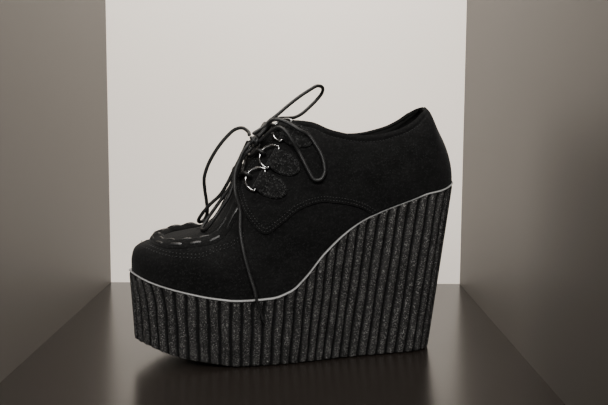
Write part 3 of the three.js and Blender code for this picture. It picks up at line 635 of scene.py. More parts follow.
def nap_group():
    """Brushed suede: a fine fuzz, short strokes of the nap and slow clouds."""
    tree, given, out = new_group("suede_nap", [("Fuzz", 1700), ("Clouds", 42)], ["Tone", "Height"])
    where = add_node(tree, "ShaderNodeTexCoord").outputs["Object"]
    stroke = add_node(tree, "ShaderNodeMapping", {"Vector": where, "Scale": (0.45, 1.0, 1.5)}).outputs[0]
    fuzz = noise(tree, where, given["Fuzz"], 4.0, 0.7)
    strokes = noise(tree, stroke, 260, 3.0, 0.6)
    clouds = noise(tree, where, given["Clouds"], 3.0, 0.55)
    mixed = maths(tree, "MULTIPLY", ranged(tree, strokes, 0.3, 0.7), 0.3)
    mixed = maths(tree, "ADD", mixed, maths(tree, "MULTIPLY", ranged(tree, clouds, 0.3, 0.72), 0.35))
    mixed = maths(tree, "ADD", mixed, maths(tree, "MULTIPLY", ranged(tree, fuzz, 0.3, 0.7), 0.35))
    tree.links.new(mixed, out["Tone"])
    height = maths(tree, "ADD", maths(tree, "MULTIPLY", fuzz, 0.6), maths(tree, "MULTIPLY", strokes, 0.4))
    tree.links.new(height, out["Height"])
    return tree


def crumb_group():
    """Crepe rubber: coarse crumbs, pits between them and a few bright specks."""
    tree, given, out = new_group("crepe_crumb", [("Crumbs", 900)], ["Tone", "Height", "Specks"])
    where = add_node(tree, "ShaderNodeTexCoord").outputs["Object"]
    warp = add_node(tree, "ShaderNodeTexNoise", {"Vector": where, "Scale": 320.0, "Detail": 2.0})
    bent = add_node(tree, "ShaderNodeVectorMath", {0: warp.outputs["Color"], 1: (0.0016, 0.0016, 0.0016)})
    bent.operation = "MULTIPLY"
    moved = add_node(tree, "ShaderNodeVectorMath", {0: where, 1: bent.outputs[0]}, operation="ADD").outputs[0]
    cells = add_node(tree, "ShaderNodeTexVoronoi", {"Vector": moved, "Scale": given["Crumbs"]})
    fine = noise(tree, where, 1900, 3.0, 0.65)
    broad = noise(tree, where, 55, 3.0, 0.6)
    bump = maths(tree, "SUBTRACT", 1.0, ranged(tree, cells.outputs["Distance"], 0.0, 0.75))
    tree.links.new(maths(tree, "ADD", bump, maths(tree, "MULTIPLY", fine, 0.7)), out["Height"])
    tone = maths(tree, "MULTIPLY", ranged(tree, broad, 0.3, 0.7), 0.45)
    tone = maths(tree, "ADD", tone, maths(tree, "MULTIPLY", ranged(tree, fine, 0.35, 0.7), 0.55))
    tree.links.new(tone, out["Tone"])
    pick = add_node(tree, "ShaderNodeSeparateColor", {"Color": cells.outputs["Color"]}).outputs[0]
    speck = maths(tree, "MULTIPLY", ranged(tree, pick, 0.62, 0.95), ranged(tree, fine, 0.42, 0.62))
    tree.links.new(speck, out["Specks"])
    return tree


def weave_group():
    """Two sets of threads crossing, as on a lining or a braided cord, from a flat map."""
    tree, given, out = new_group("weave", [("Across", 1.0), ("Along", 1.0)], ["Tone", "Height"])
    where = add_node(tree, "ShaderNodeUVMap", uv_map="laid").outputs[0]
    parts = add_node(tree, "ShaderNodeSeparateXYZ", {0: where}).outputs
    u = maths(tree, "MULTIPLY", parts[0], given["Across"])
    v = maths(tree, "MULTIPLY", parts[1], given["Along"])
    one = maths(tree, "SINE", maths(tree, "MULTIPLY", maths(tree, "ADD", u, v), 2 * math.pi))
    two = maths(tree, "SINE", maths(tree, "MULTIPLY", maths(tree, "SUBTRACT", u, v), 2 * math.pi))
    crossing = ranged(tree, maths(tree, "MULTIPLY", one, two), -1.0, 1.0)
    tree.links.new(crossing, out["Height"])
    tree.links.new(crossing, out["Tone"])
    return tree


def dust_group():
    """Pale dust and rub marks in soft patches."""
    tree, given, out = new_group("dust", [("Patches", 26), ("Amount", 0.5)], ["Mask"])
    where = add_node(tree, "ShaderNodeTexCoord").outputs["Object"]
    patches = ranged(tree, noise(tree, where, given["Patches"], 4.0, 0.62), 0.42, 0.78)
    grain = ranged(tree, noise(tree, where, 800, 2.0, 0.6), 0.35, 0.7)
    mask = maths(tree, "MULTIPLY", maths(tree, "MULTIPLY", patches, grain), given["Amount"], clamp=True)
    tree.links.new(mask, out["Mask"])
    return tree


def rib_shade_group():
    """Painted shade for the grooves between ribs: how far a place lies into a groove, from the flat map that
    is laid round the sole.
    """
    tree, given, out = new_group("rib_groove_painted_shade", [("Ribs", 0.1)], ["Mask"])
    where = add_node(tree, "ShaderNodeUVMap", uv_map="laid").outputs[0]
    u = add_node(tree, "ShaderNodeSeparateXYZ", {0: where}).outputs[0]
    turn = maths(tree, "FRACT", maths(tree, "MULTIPLY", u, given["Ribs"]))
    middle = maths(tree, "ABSOLUTE", maths(tree, "SUBTRACT", turn, 0.5))
    tree.links.new(ranged(tree, middle, 0.14, 0.44), out["Mask"])
    return tree


nap, crumb, weave, dust = nap_group(), crumb_group(), weave_group(), dust_group()
painted_rib_shade = rib_shade_group()


def grey(level, warmth=0.0):
    return (level * (1 + warmth), level, level * (1 - warmth), 1.0)


WALL_MAP = 650


class Finish:
    """A material with one Principled shader, built up from tones and heights."""

    def __init__(self, name, roughness, **sockets):
        self.material = bpy.data.materials.new(name)
        self.material.use_nodes = True
        self.tree = self.material.node_tree
        self.shader = next(n for n in self.tree.nodes if n.type == "BSDF_PRINCIPLED")
        self.shader.inputs["Roughness"].default_value = roughness
        for key, value in sockets.items():
            self.shader.inputs[key.replace("_", " ")].default_value = value

    def group(self, tree, **numbers):
        made = add_node(self.tree, "ShaderNodeGroup", node_tree=tree)
        for key, value in numbers.items():
            made.inputs[key].default_value = value
        return made.outputs

    def blend(self, factor, low, high):
        made = add_node(self.tree, "ShaderNodeMix", data_type="RGBA")
        for socket, value in zip([s for s in made.inputs if s.enabled], (factor, low, high)):
            if isinstance(value, bpy.types.NodeSocket):
                self.tree.links.new(value, socket)
            else:
                socket.default_value = value
        return next(s for s in made.outputs if s.enabled)

    def colour(self, socket):
        self.tree.links.new(socket, self.shader.inputs["Base Color"])

    def roughness(self, factor, low, high):
        self.tree.links.new(ranged(self.tree, factor, 0.0, 1.0, low, high), self.shader.inputs["Roughness"])

    def bump(self, height, distance, strength=1.0):
        made = add_node(self.tree, "ShaderNodeBump", {"Height": height, "Strength": strength})
        made.inputs["Distance"].default_value = distance * MM
        self.tree.links.new(made.outputs[0], self.shader.inputs["Normal"])


def suede_finish(name, dark, light, sheen, fleck=0.05):
    """Black suede: nap, pale flecks and a little dust."""
    look = Finish(name, 0.95, Sheen_Weight=sheen, Sheen_Roughness=0.45, Specular_IOR_Level=0.08)
    look.shader.inputs["Sheen Tint"].default_value = grey(0.55)
    nap_out = look.group(nap)
    dusty = look.group(dust, Patches=30, Amount=0.10)
    base = look.blend(nap_out["Tone"], grey(dark), grey(light))
    grain = look.group(crumb, Crumbs=1100)
    base = look.blend(grain["Specks"], base, grey(fleck))
    look.colour(look.blend(dusty["Mask"], base, grey(0.05, 0.02)))
    look.bump(nap_out["Height"], 0.28, 0.75)
    return look.material


def tread_finish():
    """Tread rubber: crumbs and specks under patches of dust."""
    look = Finish("tread_rubber", 0.62, Specular_IOR_Level=0.5)
    grain = look.group(crumb, Crumbs=900)
    base = look.blend(grain["Tone"], grey(0.004), grey(0.012))
    base = look.blend(grain["Specks"], base, grey(0.03, 0.02))
    dusty = look.group(dust, Patches=38, Amount=0.35)
    look.colour(look.blend(dusty["Mask"], base, grey(0.035, 0.03)))
    look.roughness(grain["Tone"], 0.76, 0.48)
    look.bump(grain["Height"], 0.35, 0.9)
    return look.material


def rib_finish():
    """Crepe rubber of the ribbed wall: grained ridges, and grooves darkened by painted shade, their
    reflections lowered as well.
    """
    look = Finish("ribbed_crepe_rubber", 0.7)
    grain = look.group(crumb, Crumbs=1500)
    deep = look.group(painted_rib_shade, Ribs=RIB_COUNT / WALL_MAP)
    base = look.blend(grain["Tone"], grey(0.005, 0.03), grey(0.034, 0.03))
    base = look.blend(grain["Specks"], base, grey(0.26, 0.03))
    # Painted shade: the grooves are coloured near black and their specular level is lowered, standing in for
    # shadow in the recesses
    look.colour(look.blend(deep["Mask"], base, grey(0.008)))
    look.roughness(grain["Tone"], 0.85, 0.6)
    shine = ranged(look.tree, deep["Mask"], 0.0, 1.0, 0.22, 0.06)
    look.tree.links.new(shine, look.shader.inputs["Specular IOR Level"])
    look.bump(grain["Height"], 0.3, 0.9)
    return look.material


def welt_finish():
    """Light grey rubber of the edge strip, smudged in places."""
    look = Finish("grey_edge_rubber", 0.55, Specular_IOR_Level=0.4)
    smudge = look.group(dust, Patches=60, Amount=1.0)
    grain = look.group(crumb, Crumbs=1500)
    base = look.blend(grain["Tone"], grey(0.26, 0.01), grey(0.38, 0.01))
    look.colour(look.blend(smudge["Mask"], base, grey(0.10, 0.02)))
    look.roughness(grain["Tone"], 0.65, 0.45)
    look.bump(grain["Height"], 0.08, 0.6)
    return look.material


def patent_finish():
    """Shiny leather of the apron's strips."""
    look = Finish("patent_strip", 0.3, Specular_IOR_Level=0.45)
    nap_out = look.group(nap, Fuzz=900, Clouds=120)
    look.colour(look.blend(nap_out["Tone"], grey(0.006), grey(0.018)))
    look.roughness(nap_out["Tone"], 0.3, 0.5)
    look.bump(nap_out["Height"], 0.06, 0.5)
    return look.material


def chrome_finish():
    """Bright wire of the rings, dulled in places."""
    look = Finish("chrome", 0.12, Metallic=1.0)
    marks = look.group(dust, Patches=240, Amount=0.9)
    look.colour(look.blend(marks["Mask"], grey(0.36), grey(0.2)))
    look.roughness(marks["Mask"], 0.10, 0.34)
    return look.material


def lace_finish():
    """Round waxed lace with its braid."""
    look = Finish("waxed_lace", 0.42, Specular_IOR_Level=0.3)
    braid = look.group(weave, Across=0.55, Along=0.55)
    base = look.blend(braid["Tone"], grey(0.004), grey(0.014))
    dusty = look.group(dust, Patches=90, Amount=0.3)
    look.colour(look.blend(dusty["Mask"], base, grey(0.06, 0.02)))
    look.roughness(braid["Tone"], 0.55, 0.36)
    look.bump(braid["Height"], 0.12, 0.8)
    return look.material


def cloth_finish(name, dark, light, threads, roughness=0.9):
    """Woven lining or sock, as many threads to the millimetre each way."""
    look = Finish(name, roughness, Specular_IOR_Level=0.25)
    cloth = look.group(weave, Across=threads, Along=threads)
    nap_out = look.group(nap, Fuzz=1200, Clouds=60)
    base = look.blend(cloth["Tone"], grey(dark, 0.03), grey(light, 0.03))
    look.colour(look.blend(nap_out["Tone"], base, grey(light * 0.7, 0.03)))
    look.bump(cloth["Height"], 0.08, 0.6)
    return look.material


def thread_finish(name, dark, light):
    """Sewing thread with a little fluff."""
    look = Finish(name, 0.6, Specular_IOR_Level=0.25, Sheen_Weight=0.05)
    nap_out = look.group(nap, Fuzz=2400, Clouds=200)
    look.colour(look.blend(nap_out["Tone"], grey(dark), grey(light)))
    look.bump(nap_out["Height"], 0.05, 0.6)
    return look.material


def tip_finish():
    """Hard plastic of the lace's tip, scuffed in places."""
    look = Finish("lace_tip_plastic", 0.3)
    marks = look.group(dust, Patches=120, Amount=0.6)
    look.colour(look.blend(marks["Mask"], grey(0.008), grey(0.03)))
    look.roughness(marks["Mask"], 0.2, 0.45)
    return look.material


suede = suede_finish("black_suede", 0.0018, 0.0075, 0.09, fleck=0.015)
cut_edge = suede_finish("suede_cut_edge", 0.03, 0.09, 0.1)
tab_suede = suede_finish("tab_suede", 0.002, 0.010, 0.1, fleck=0.05)
rib_rubber = rib_finish()
tread_rubber = tread_finish()
welt_rubber = welt_finish()
patent = patent_finish()
chrome = chrome_finish()
waxed = lace_finish()
lining = cloth_finish("black_lining", 0.003, 0.009, 1.1)
sock = cloth_finish("insole_cover", 0.014, 0.034, 0.8, 0.75)
thread = thread_finish("black_thread", 0.012, 0.040)
dark_thread = thread_finish("dark_thread", 0.003, 0.010)
tip_plastic = tip_finish()


# Camera at the photograph's angle, soft lights and the shelf

CAMERA_TURN = math.radians(-13.0)
CAMERA_DOWN = math.radians(6.28)
CAMERA_ROLL = math.radians(0.3)
CAMERA_PLACE = Vector((-0.1416, -0.6467, 0.1875))
FRAME_WIDTH = 608
FOCAL_PIXELS = 870
SENSOR = 36

level_way = Vector((-math.sin(CAMERA_TURN), math.cos(CAMERA_TURN), 0))
level_right = Vector((math.cos(CAMERA_TURN), math.sin(CAMERA_TURN), 0))
up = Vector((0, 0, 1))
view_way = level_way * math.cos(CAMERA_DOWN) - up * math.sin(CAMERA_DOWN)
view_up = level_way * math.sin(CAMERA_DOWN) + up * math.cos(CAMERA_DOWN)
view_right = level_right * math.cos(CAMERA_ROLL) + view_up * math.sin(CAMERA_ROLL)
view_up = view_up * math.cos(CAMERA_ROLL) - level_right * math.sin(CAMERA_ROLL)

camera = bpy.data.objects.new("camera", bpy.data.cameras.new("camera"))
camera.data.sensor_width = SENSOR
camera.data.lens = FOCAL_PIXELS * SENSOR / FRAME_WIDTH
camera.data.clip_start = 0.01
camera_turn = Matrix((view_right, view_up, -view_way)).transposed().to_4x4()
camera.matrix_world = Matrix.Translation(CAMERA_PLACE) @ camera_turn
bpy.context.scene.collection.objects.link(camera)
bpy.context.scene.camera = camera


def soft_light(name, place, target, width, height, watts, colour=(1, 1, 1)):
    lamp = bpy.data.lights.new(name, "AREA")
    lamp.shape = "RECTANGLE"
    lamp.size, lamp.size_y, lamp.energy, lamp.color = width, height, watts, colour
    light = bpy.data.objects.new(name, lamp)
    light.location = place
    light.rotation_euler = (Vector(target) - Vector(place)).to_track_quat("-Z", "Y").to_euler()
    bpy.context.scene.collection.objects.link(light)


soft_light("key", (-0.35, -1.1, 0.95), (0, 0, 0.08), 0.8, 0.5, 23, (1.0, 0.98, 0.95))
soft_light("side", (0.7, -0.9, 0.5), (0.05, 0, 0.08), 0.5, 0.7, 9, (1.0, 0.99, 0.97))
soft_light("wall", (0.05, 0.0, 0.75), (0.03, 0.27, 0.3), 0.5, 0.2, 6, (1.0, 0.97, 0.92))

world = bpy.data.worlds.new("studio")
world.use_nodes = True
backdrop = next(n for n in world.node_tree.nodes if n.type == "BACKGROUND")
backdrop.inputs["Color"].default_value = (0.9, 0.88, 0.85, 1)
backdrop.inputs["Strength"].default_value = 0.35
bpy.context.scene.world = world

# The shelf that it stands on, square to the camera: floor, pale wall behind, side walls
SHELF_BACK, SHELF_FRONT = 916, 330
SHELF_LEFT, SHELF_RIGHT = -206, 167
SHELF_TOP = 700
SHELF_DROP = 0.05


def shelf_side(bm, corners, look):
    a, b, c, d = (np.array(p, float) for p in corners)
    u, v = np.meshgrid(np.linspace(0, 1, 5), np.linspace(0, 1, 5), indexing="ij")
    u, v = u[..., None], v[..., None]
    add_grid(bm, (a * (1 - u) + b * u) * (1 - v) + (d * (1 - u) + c * u) * v, look=look)


stage_bm = new_bm()
edges = [(a, d) for d in (SHELF_BACK, SHELF_FRONT) for a in (SHELF_LEFT, SHELF_RIGHT)]
ground = [CAMERA_PLACE / MM + level_right * a + level_way * d for a, d in edges]
low_left, low_right, fore_left, fore_right = ((p.x, p.y, -SHELF_DROP) for p in ground)
raised = [(p[0], p[1], SHELF_TOP) for p in (low_left, low_right, fore_left, fore_right)]
shelf_side(stage_bm, (fore_left, fore_right, low_right, low_left), 0)
shelf_side(stage_bm, (low_left, low_right, raised[1], raised[0]), 1)
shelf_side(stage_bm, (fore_left, low_left, raised[0], raised[2]), 2)
shelf_side(stage_bm, (low_right, fore_right, raised[3], raised[1]), 2)
stage_bm.normal_update()
for face in stage_bm.faces[:]:
    if face.normal.dot(Vector((0, 0, 0.1)) - face.calc_center_median()) < 0:
        face.normal_flip()
stage_mesh = bpy.data.meshes.new("shelf")
stage_bm.to_mesh(stage_mesh)
stage_bm.free()
stage = bpy.data.objects.new("shelf", stage_mesh)


def wall_finish(name, low, high, roughness, shine=0.5, glow=0.0):
    """Shelf surface that is solid from the shoe's side and clear from outside."""
    look = Finish(name, roughness, Specular_IOR_Level=shine)
    tone = look.group(dust, Patches=3, Amount=0.4)
    colour = look.blend(tone["Mask"], (*high, 1), (*low, 1))
    look.colour(colour)
    if glow:
        look.tree.links.new(colour, look.shader.inputs["Emission Color"])
        look.shader.inputs["Emission Strength"].default_value = glow
    clear = add_node(look.tree, "ShaderNodeBsdfTransparent").outputs[0]
    behind = add_node(look.tree, "ShaderNodeNewGeometry").outputs["Backfacing"]
    mixed = add_node(look.tree, "ShaderNodeMixShader", {0: behind, 1: look.shader.outputs[0], 2: clear})
    output = next(node for node in look.tree.nodes if node.bl_idname == "ShaderNodeOutputMaterial")
    look.tree.links.new(mixed.outputs[0], output.inputs["Surface"])
    return look.material


stage_mesh.materials.append(wall_finish("shelf_floor", (0.010, 0.008, 0.007), (0.015, 0.012, 0.010), 0.24))
stage_mesh.materials.append(wall_finish("pale_wall", (0.70, 0.63, 0.55), (0.78, 0.71, 0.63), 0.9, 0.1, 0.65))
stage_mesh.materials.append(wall_finish("shelf_sides", (0.055, 0.048, 0.041), (0.07, 0.061, 0.052), 0.5))
bpy.context.scene.collection.objects.link(stage)


# Laces: the free cords of the bow, in millimetres, on the same routes as the source

ROUTES = {
    "lace_loop_near": [
        (-30.6, -16.5, 165.8), (-24.9, -16, 171.9), (-22.8, -18.5, 176.1), (-19, -22, 178.1),
        (-14.3, -24.5, 177.4), (-8.9, -27, 174.7), (-2.9, -30, 170.8), (3.9, -29.9, 167.1),
        (8.6, -32.5, 160.2), (12.3, -34.6, 153.3), (14.1, -36.6, 146.1), (14.1, -38, 140.2),
        (11.1, -38.9, 135.3), (6.5, -38.7, 135), (3.2, -37.4, 139.8), (-0.6, -35.2, 147.8),
        (-4.5, -32.3, 156), (-8.7, -33, 162.6), (-12.8, -31.5, 169), (-17, -28.5, 172.5),
        (-21, -24.5, 171), (-29.8, -17.5, 162.3),
    ],
    "lace_loop_far": [
        (-33.3, -11.2, 167.7), (-26.1, -8, 172), (-20.5, -4.5, 176.6), (-14.5, -3, 180.9),
        (-5.4, 0, 188), (3.5, 2, 194.6), (12.5, 4, 200.2), (19, 6.5, 203.4),
        (24.2, 10.5, 202.4), (25.1, 15, 198.4), (21.1, 16.5, 192.8), (15.3, 15.5, 187.3),
        (8.8, 13, 182.3), (2.1, 9.5, 179.4), (-4.8, 6.5, 178.9), (-11.6, 3.5, 178.6),
        (-19.1, 1, 176.3), (-31.2, -10.1, 166.6),
    ],
    "lace_loop_front": [
        (-36.8, -12.7, 166.8), (-36.8, -9, 168.7), (-40.4, -4, 171.6), (-45.6, -1, 170.4),
        (-52.9, 1, 163.6), (-60.2, 3, 153.5), (-65.4, 5, 143.3), (-68, 6.5, 133.8),
        (-67.3, 9, 124.5), (-65.7, 12, 115), (-64.9, 15, 106.9), (-66.9, 17.3, 100.9),
        (-70.4, 15.5, 99.3), (-72.1, 11.5, 101), (-70.1, 7.5, 106), (-64.4, 4.5, 113.5),
        (-56.7, 2, 121.2), (-51.4, -1, 130.4), (-47.1, -2.5, 139.5), (-42.8, -4, 148.2),
        (-37.5, -9.3, 161.4),
    ],
    "lace_loop_low": [
        (-38, -11.5, 158.7), (-43.2, -10, 148.1), (-47.1, -10.3, 139), (-49.8, -8, 129.5),
        (-55.9, -6, 120.1), (-62.1, -4.5, 111.1), (-67.3, -4, 103.6), (-70.7, -6, 98.9),
        (-71.6, -10.5, 97), (-69.4, -15, 97.8), (-64.8, -17, 104.1), (-58.9, -17, 112.5),
        (-52.9, -18, 122), (-49.2, -17.5, 131.5), (-45.8, -17, 141.3), (-41.6, -15.5, 151),
        (-35.7, -14.9, 157),
    ],
    "lace_end_near": [
        (-37.5, -16.5, 160.4), (-42.7, -18.6, 154.1), (-45.8, -20.5, 147.4), (-48.8, -24, 141.1),
        (-50.1, -27.5, 133.4), (-49.8, -30.5, 125), (-46.9, -31.9, 113.8), (-47.4, -36.6, 98.9),
        (-45.5, -42.3, 82.9), (-42.6, -45, 70.6), (-38.6, -48.3, 56.1), (-37.5, -49.2, 49.5),
        (-35.5, -49.3, 43.5), (-32.2, -48.8, 35),
    ],
}
KNOT_PLACE = np.array((-33.2, -13, 162))
KNOT_CORE = [(-3.4, 2.2, -1.6), (-1.6, 0.8, -0.2), (0.4, -0.2, 0.4), (2.2, -1.2, 0.6), (3.2, -2.2, 0.2)]
KNOT_CORE_RADIUS = 1.8
# Wraps round the knot: tilt, shift along it, radius of the turn
KNOT_WRAPS = [(0.5, -1.5, 3.15), (0.18, 1.35, 3.2), (-0.85, 0.1, 3.25)]
TIP_LENGTH = 19

lace_lines = {name: spaced(centripetal(route, steps=10), pitch=0.9) for name, route in ROUTES.items()}


def lace_tip(line):
    """The hard tip over the last stretch of the lace end."""
    arc = run_length(line)
    reach = line[arc > arc[-1] - TIP_LENGTH]
    bm = new_bm()
    swell = np.full(len(reach), LACE_DIAMETER / 2 * 0.80)
    swell[-4:] *= (0.97, 0.92, 0.82, 0.66)
    add_tube(bm, reach, swell, sides=16)
    weld(bm)
    return finish_piece("lace_tip", bm, [tip_plastic])


def knot_wraps():
    """The knot: cords wound over a core, pulled tight."""
    bm = new_bm()
    core = centripetal(np.array(KNOT_CORE) + KNOT_PLACE, steps=6)
    add_tube(bm, core, KNOT_CORE_RADIUS)
    turn = np.linspace(0, 2 * np.pi, 28, endpoint=False)
    for tilt, shift, reach in KNOT_WRAPS:
        along = shift + 0.5 * np.sin(turn)
        ring = np.stack([along, reach * np.cos(turn) * 0.86, reach * np.sin(turn)], -1)
        c, s = math.cos(tilt), math.sin(tilt)
        ring = ring @ np.array(((c, 0, -s), (0, 1, 0), (s, 0, c)))
        add_tube(bm, ring + KNOT_PLACE, LACE_DIAMETER / 2, sides=12, closed=True)
    weld(bm)
    return finish_piece("lace_knot_wraps", bm, [waxed], ["lace_knot"])


def lace_cords():
    """The free loops and the end of the bow, each a cord."""
    knot = knot_wraps()
    for name, line in lace_lines.items():
        bm = new_bm()
        radius = np.full(len(line), LACE_DIAMETER / 2)
        riding = []
        if name == "lace_end_near":
            riding = [lace_tip(line)]
            arc = run_length(line)
            radius[arc > arc[-1] - TIP_LENGTH + 1] *= 0.66
        if name == "lace_loop_near":
            riding = [knot]
        add_tube(bm, line, radius)
        weld(bm)
        piece = finish_piece(name + "_cord", bm, [waxed], [name])


lace_cords()


# Sole


def welt_low(x):
    """Underside of the edge strip: thin at the toe, full at the waist, thinner up the slope."""
    share = share_at(x)
    shown = 0.27 + 0.19 * ease(0.1, 0.3, share)
    shown = shown - 0.2 * ease(0.58, 0.68, share) + 0.16 * ease(0.82, 0.92, share)
    return welt_top(x) - WELT_HEIGHT * shown


# Places of the columns across one rib, then round the whole sole, counted in ribs
RIB_STEPS = (0, 0.05, 0.1, 0.15, 0.2, 0.26, 0.4, 0.45, 0.5, 0.55, 0.6, 0.74, 0.8, 0.85, 0.9, 0.95)
RIB_TURNS = np.concatenate([(np.arange(RIB_COUNT)[:, None] + np.array(RIB_STEPS)).ravel(), [RIB_COUNT]])
GROOVE_DEPTH = RIB_DEPTH + 0.2
RIDGE_CROWN = 0.2
CHANNEL_DEPTH = 1.2
CHANNEL_HALF = 0.07
# Rows near the foot of the wall: rise, inset, share of the groove
FOOT_ROWS = [(0.0, 0.55, 1.0), (0.25, 0.2, 1.0), (0.7, 0.05, 1.0), (1.3, 0.0, 1.0)]
# Rows near its top: drop below the edge strip, inset, share of the groove
FADE_ROWS = [
    (RIB_FADE, 0.0, 1.0), (3.2, 0.0, 0.92), (2.3, 0.04, 0.72),
    (1.5, 0.16, 0.42), (0.8, 0.36, 0.15), (0.25, 0.62, 0.0),
]


def rib_depth(turns):
    """Depth of the groove at a place counted in ribs round the sole."""
    beside = np.minimum(turns % 1, 1 - turns % 1)
    x, _ = outline_point(turns / RIB_COUNT, 0.0)
    around_ball = ease(0.1, 0.16, share_at(x)) * ease(0.42, 0.36, share_at(x))
    channel = CHANNEL_DEPTH * around_ball * np.exp(-(((beside - 0.5) / CHANNEL_HALF) ** 2))
    groove = GROOVE_DEPTH * (1 - ease(0.03, 0.29, beside))
    return groove - RIDGE_CROWN * ease(0.2, 0.5, beside) + channel


def wedge():
    """The ribbed wall, row by row from the tread up to the edge strip, and the top under it."""
    bm = new_bm()
    uneven = 1 + 0.08 * np.sin(RIB_TURNS * 2.4) + 0.05 * np.sin(RIB_TURNS * 5.1 + 1)
    rows = []

    def wall_row(share_of, inset, deep):
        flat_x, flat_y = outline_point(RIB_TURNS / RIB_COUNT, 0.0)
        share = share_of(flat_x)
        bend = 0.5 * ease(0.6, 1.0, share) * ease(-88, -118, flat_x) * np.sign(flat_y + 1e-9)
        waver = 0.03 * np.sin(share * 9 + RIB_TURNS * 1.7)
        around = (RIB_TURNS + bend + waver * (share > 0.02)) / RIB_COUNT
        x, y = outline_point(around, inset + rib_depth(RIB_TURNS) * deep * uneven)
        bx, by = bottom_of(x, y)
        low, high = underside(bx) + TREAD_DROP, welt_low(x) - 0.1
        return np.stack([bx + (x - bx) * share, by + (y - by) * share, low + (high - low) * share], -1)

    def tall(x):
        return welt_low(x) - underside(bottom_of(x, 0)[0]) - TREAD_DROP

    x, y = outline_point(RIB_TURNS / RIB_COUNT, TREAD_MARGIN)
    bx, by = bottom_of(x, y)
    rows.append(np.stack([bx, by, underside(bx) + TREAD_THICKNESS], -1))
    rows.append(np.stack([bx, by, underside(bx) + TREAD_DROP], -1))
    for rise, inset, deep in FOOT_ROWS:
        rows.append(wall_row(lambda x: rise / tall(x), inset, deep))
    for s in np.linspace(0.05, 0.88, 14):
        rows.append(wall_row(lambda x: s * (1 - RIB_FADE / tall(x)) + 0.02 * (1 - s), 0.0, 1.0))
    for drop, inset, deep in FADE_ROWS:
        rows.append(wall_row(lambda x: 1 - drop / tall(x), inset, deep))
    for inset, drop in ((1.0, 0.1), (WELT_WIDTH + GAP, 0.1), (WELT_WIDTH + GAP, 4.0)):
        x, y = outline_point(RIB_TURNS / RIB_COUNT, inset)
        rows.append(np.stack([x, y, welt_low(x) - drop], -1))
    points = np.stack(rows, 1)
    add_grid(bm, points, across=WALL_MAP, along=80)
    weld(bm, face_out=False)
    bmesh.ops.holes_fill(bm, edges=[e for e in bm.edges if e.is_boundary], sides=0)
    bmesh.ops.triangulate(bm, faces=[f for f in bm.faces if len(f.verts) > 4])
    bmesh.ops.recalc_face_normals(bm, faces=bm.faces[:])
    return finish_piece("wedge", bm, [rib_rubber], ["wedge_sole"])


def tread():
    """Sheet let into the underside, with wavy grooves across it."""
    bm = new_bm()
    ring_x, ring_y = outline_point(np.arange(1200) / 1200, TREAD_MARGIN + GAP)
    ring_x, ring_y = bottom_of(ring_x, ring_y)
    start, end = ring_x.min(), ring_x.max()
    near = np.array(sorted(zip(ring_x[ring_y < ring_y[0]], ring_y[ring_y < ring_y[0]]))).T
    far = np.array(sorted(zip(ring_x[ring_y >= ring_y[0]], ring_y[ring_y >= ring_y[0]]))).T
    along = (1 - np.cos(np.linspace(0, np.pi, 220))) / 2
    along = 0.25 * along + 0.75 * np.linspace(0, 1, 220)
    x = (start + 0.02 + (end - start - 0.04) * along)[:, None]
    v = np.linspace(0, 1, 33)[None, :]
    y = np.interp(x, *near) * (1 - v) + np.interp(x, *far) * v
    wave = np.abs(((x + 5 * np.cos(y / 9.0)) / 6.4) % 1 - 0.5)
    groove = 0.85 * (1 - ease(0.1, 0.2, wave)) * ease(0.0, 0.06, v) * ease(1.0, 0.94, v)
    x = x + 0 * v
    add_grid(bm, np.stack([x, y, underside(x) + groove], -1), across=210, along=75)
    weld(bm, 0.02)
    if bm.faces[len(bm.faces) // 2].normal.z > 0:
        bmesh.ops.reverse_faces(bm, faces=bm.faces[:])
    piece = finish_piece("tread", bm, [tread_rubber], ["outsole"])
    return wall(piece, TREAD_SHEET, edge=0)


def edge_strip():
    """Light strip round the sole, set back on the slope and rounded outwards."""
    bm = new_bm()
    u = np.linspace(0, 1, 421)
    proud = [(0.3, 0.0), (-0.25, 0.1), (-0.46, 0.35), (-0.5, 0.6), (-0.42, 0.86), (-0.15, 0.98), (0.4, 1.0)]
    profile = [(WELT_WIDTH, 0.0), *proud, (WELT_WIDTH, 1.0), (WELT_WIDTH, 0.0)]
    rows = []
    flat_x, _ = outline_point(u, 0.0)
    back = 1.1 * ease(0.58, 0.68, share_at(flat_x)) * ease(0.92, 0.84, share_at(flat_x))
    for inset, share in profile:
        x, y = outline_point(u, inset + back * (inset < 1))
        low, high = welt_low(x), welt_top(x)
        rows.append(np.stack([x, y, low + (high - low) * share], -1))
    add_grid(bm, np.stack(rows, 1), across=650, along=26)
    weld(bm)
    return finish_piece("edge_strip", bm, [welt_rubber], ["welt"])


def insole_cover():
    """Sock inside the upper, its edges cupped."""
    bm = new_bm()
    inset = UPPER_SETBACK + QUARTER_STEP + UPPER_WALL + INSOLE_CLEARANCE
    start, end, outer, inner = plan(inset)
    x = (start + (end - start) * (0.5 - 0.5 * np.cos(np.linspace(0.02, np.pi - 0.02, 130))))[:, None]
    v = np.linspace(0, 1, 25)[None, :]
    y = outer(x) * (1 - v) + inner(x) * v
    cup = 0.5 * (2 * v - 1) ** 4
    x = x + 0 * v
    z = welt_top(x) + INSOLE_SEAT + INSOLE_THICKNESS - 0.5 + cup
    add_grid(bm, np.stack([x, y, z], -1), across=230, along=76)
    weld(bm, 0.02)
    if bm.faces[len(bm.faces) // 2].normal.z < 0:
        bmesh.ops.reverse_faces(bm, faces=bm.faces[:])
    piece = finish_piece("insole_cover", bm, [sock], ["insole"])
    return wall(piece, SOCK_SHEET, edge=0)


wedge()
tread()
edge_strip()
insole_cover()


# Upper

corner = int(np.argmin(quarter_line[:, 0]))
front_branch, low_branch = quarter_line[: corner + 1][::-1], quarter_line[corner:]
VAMP_INSET = float(QUARTER_STEP)


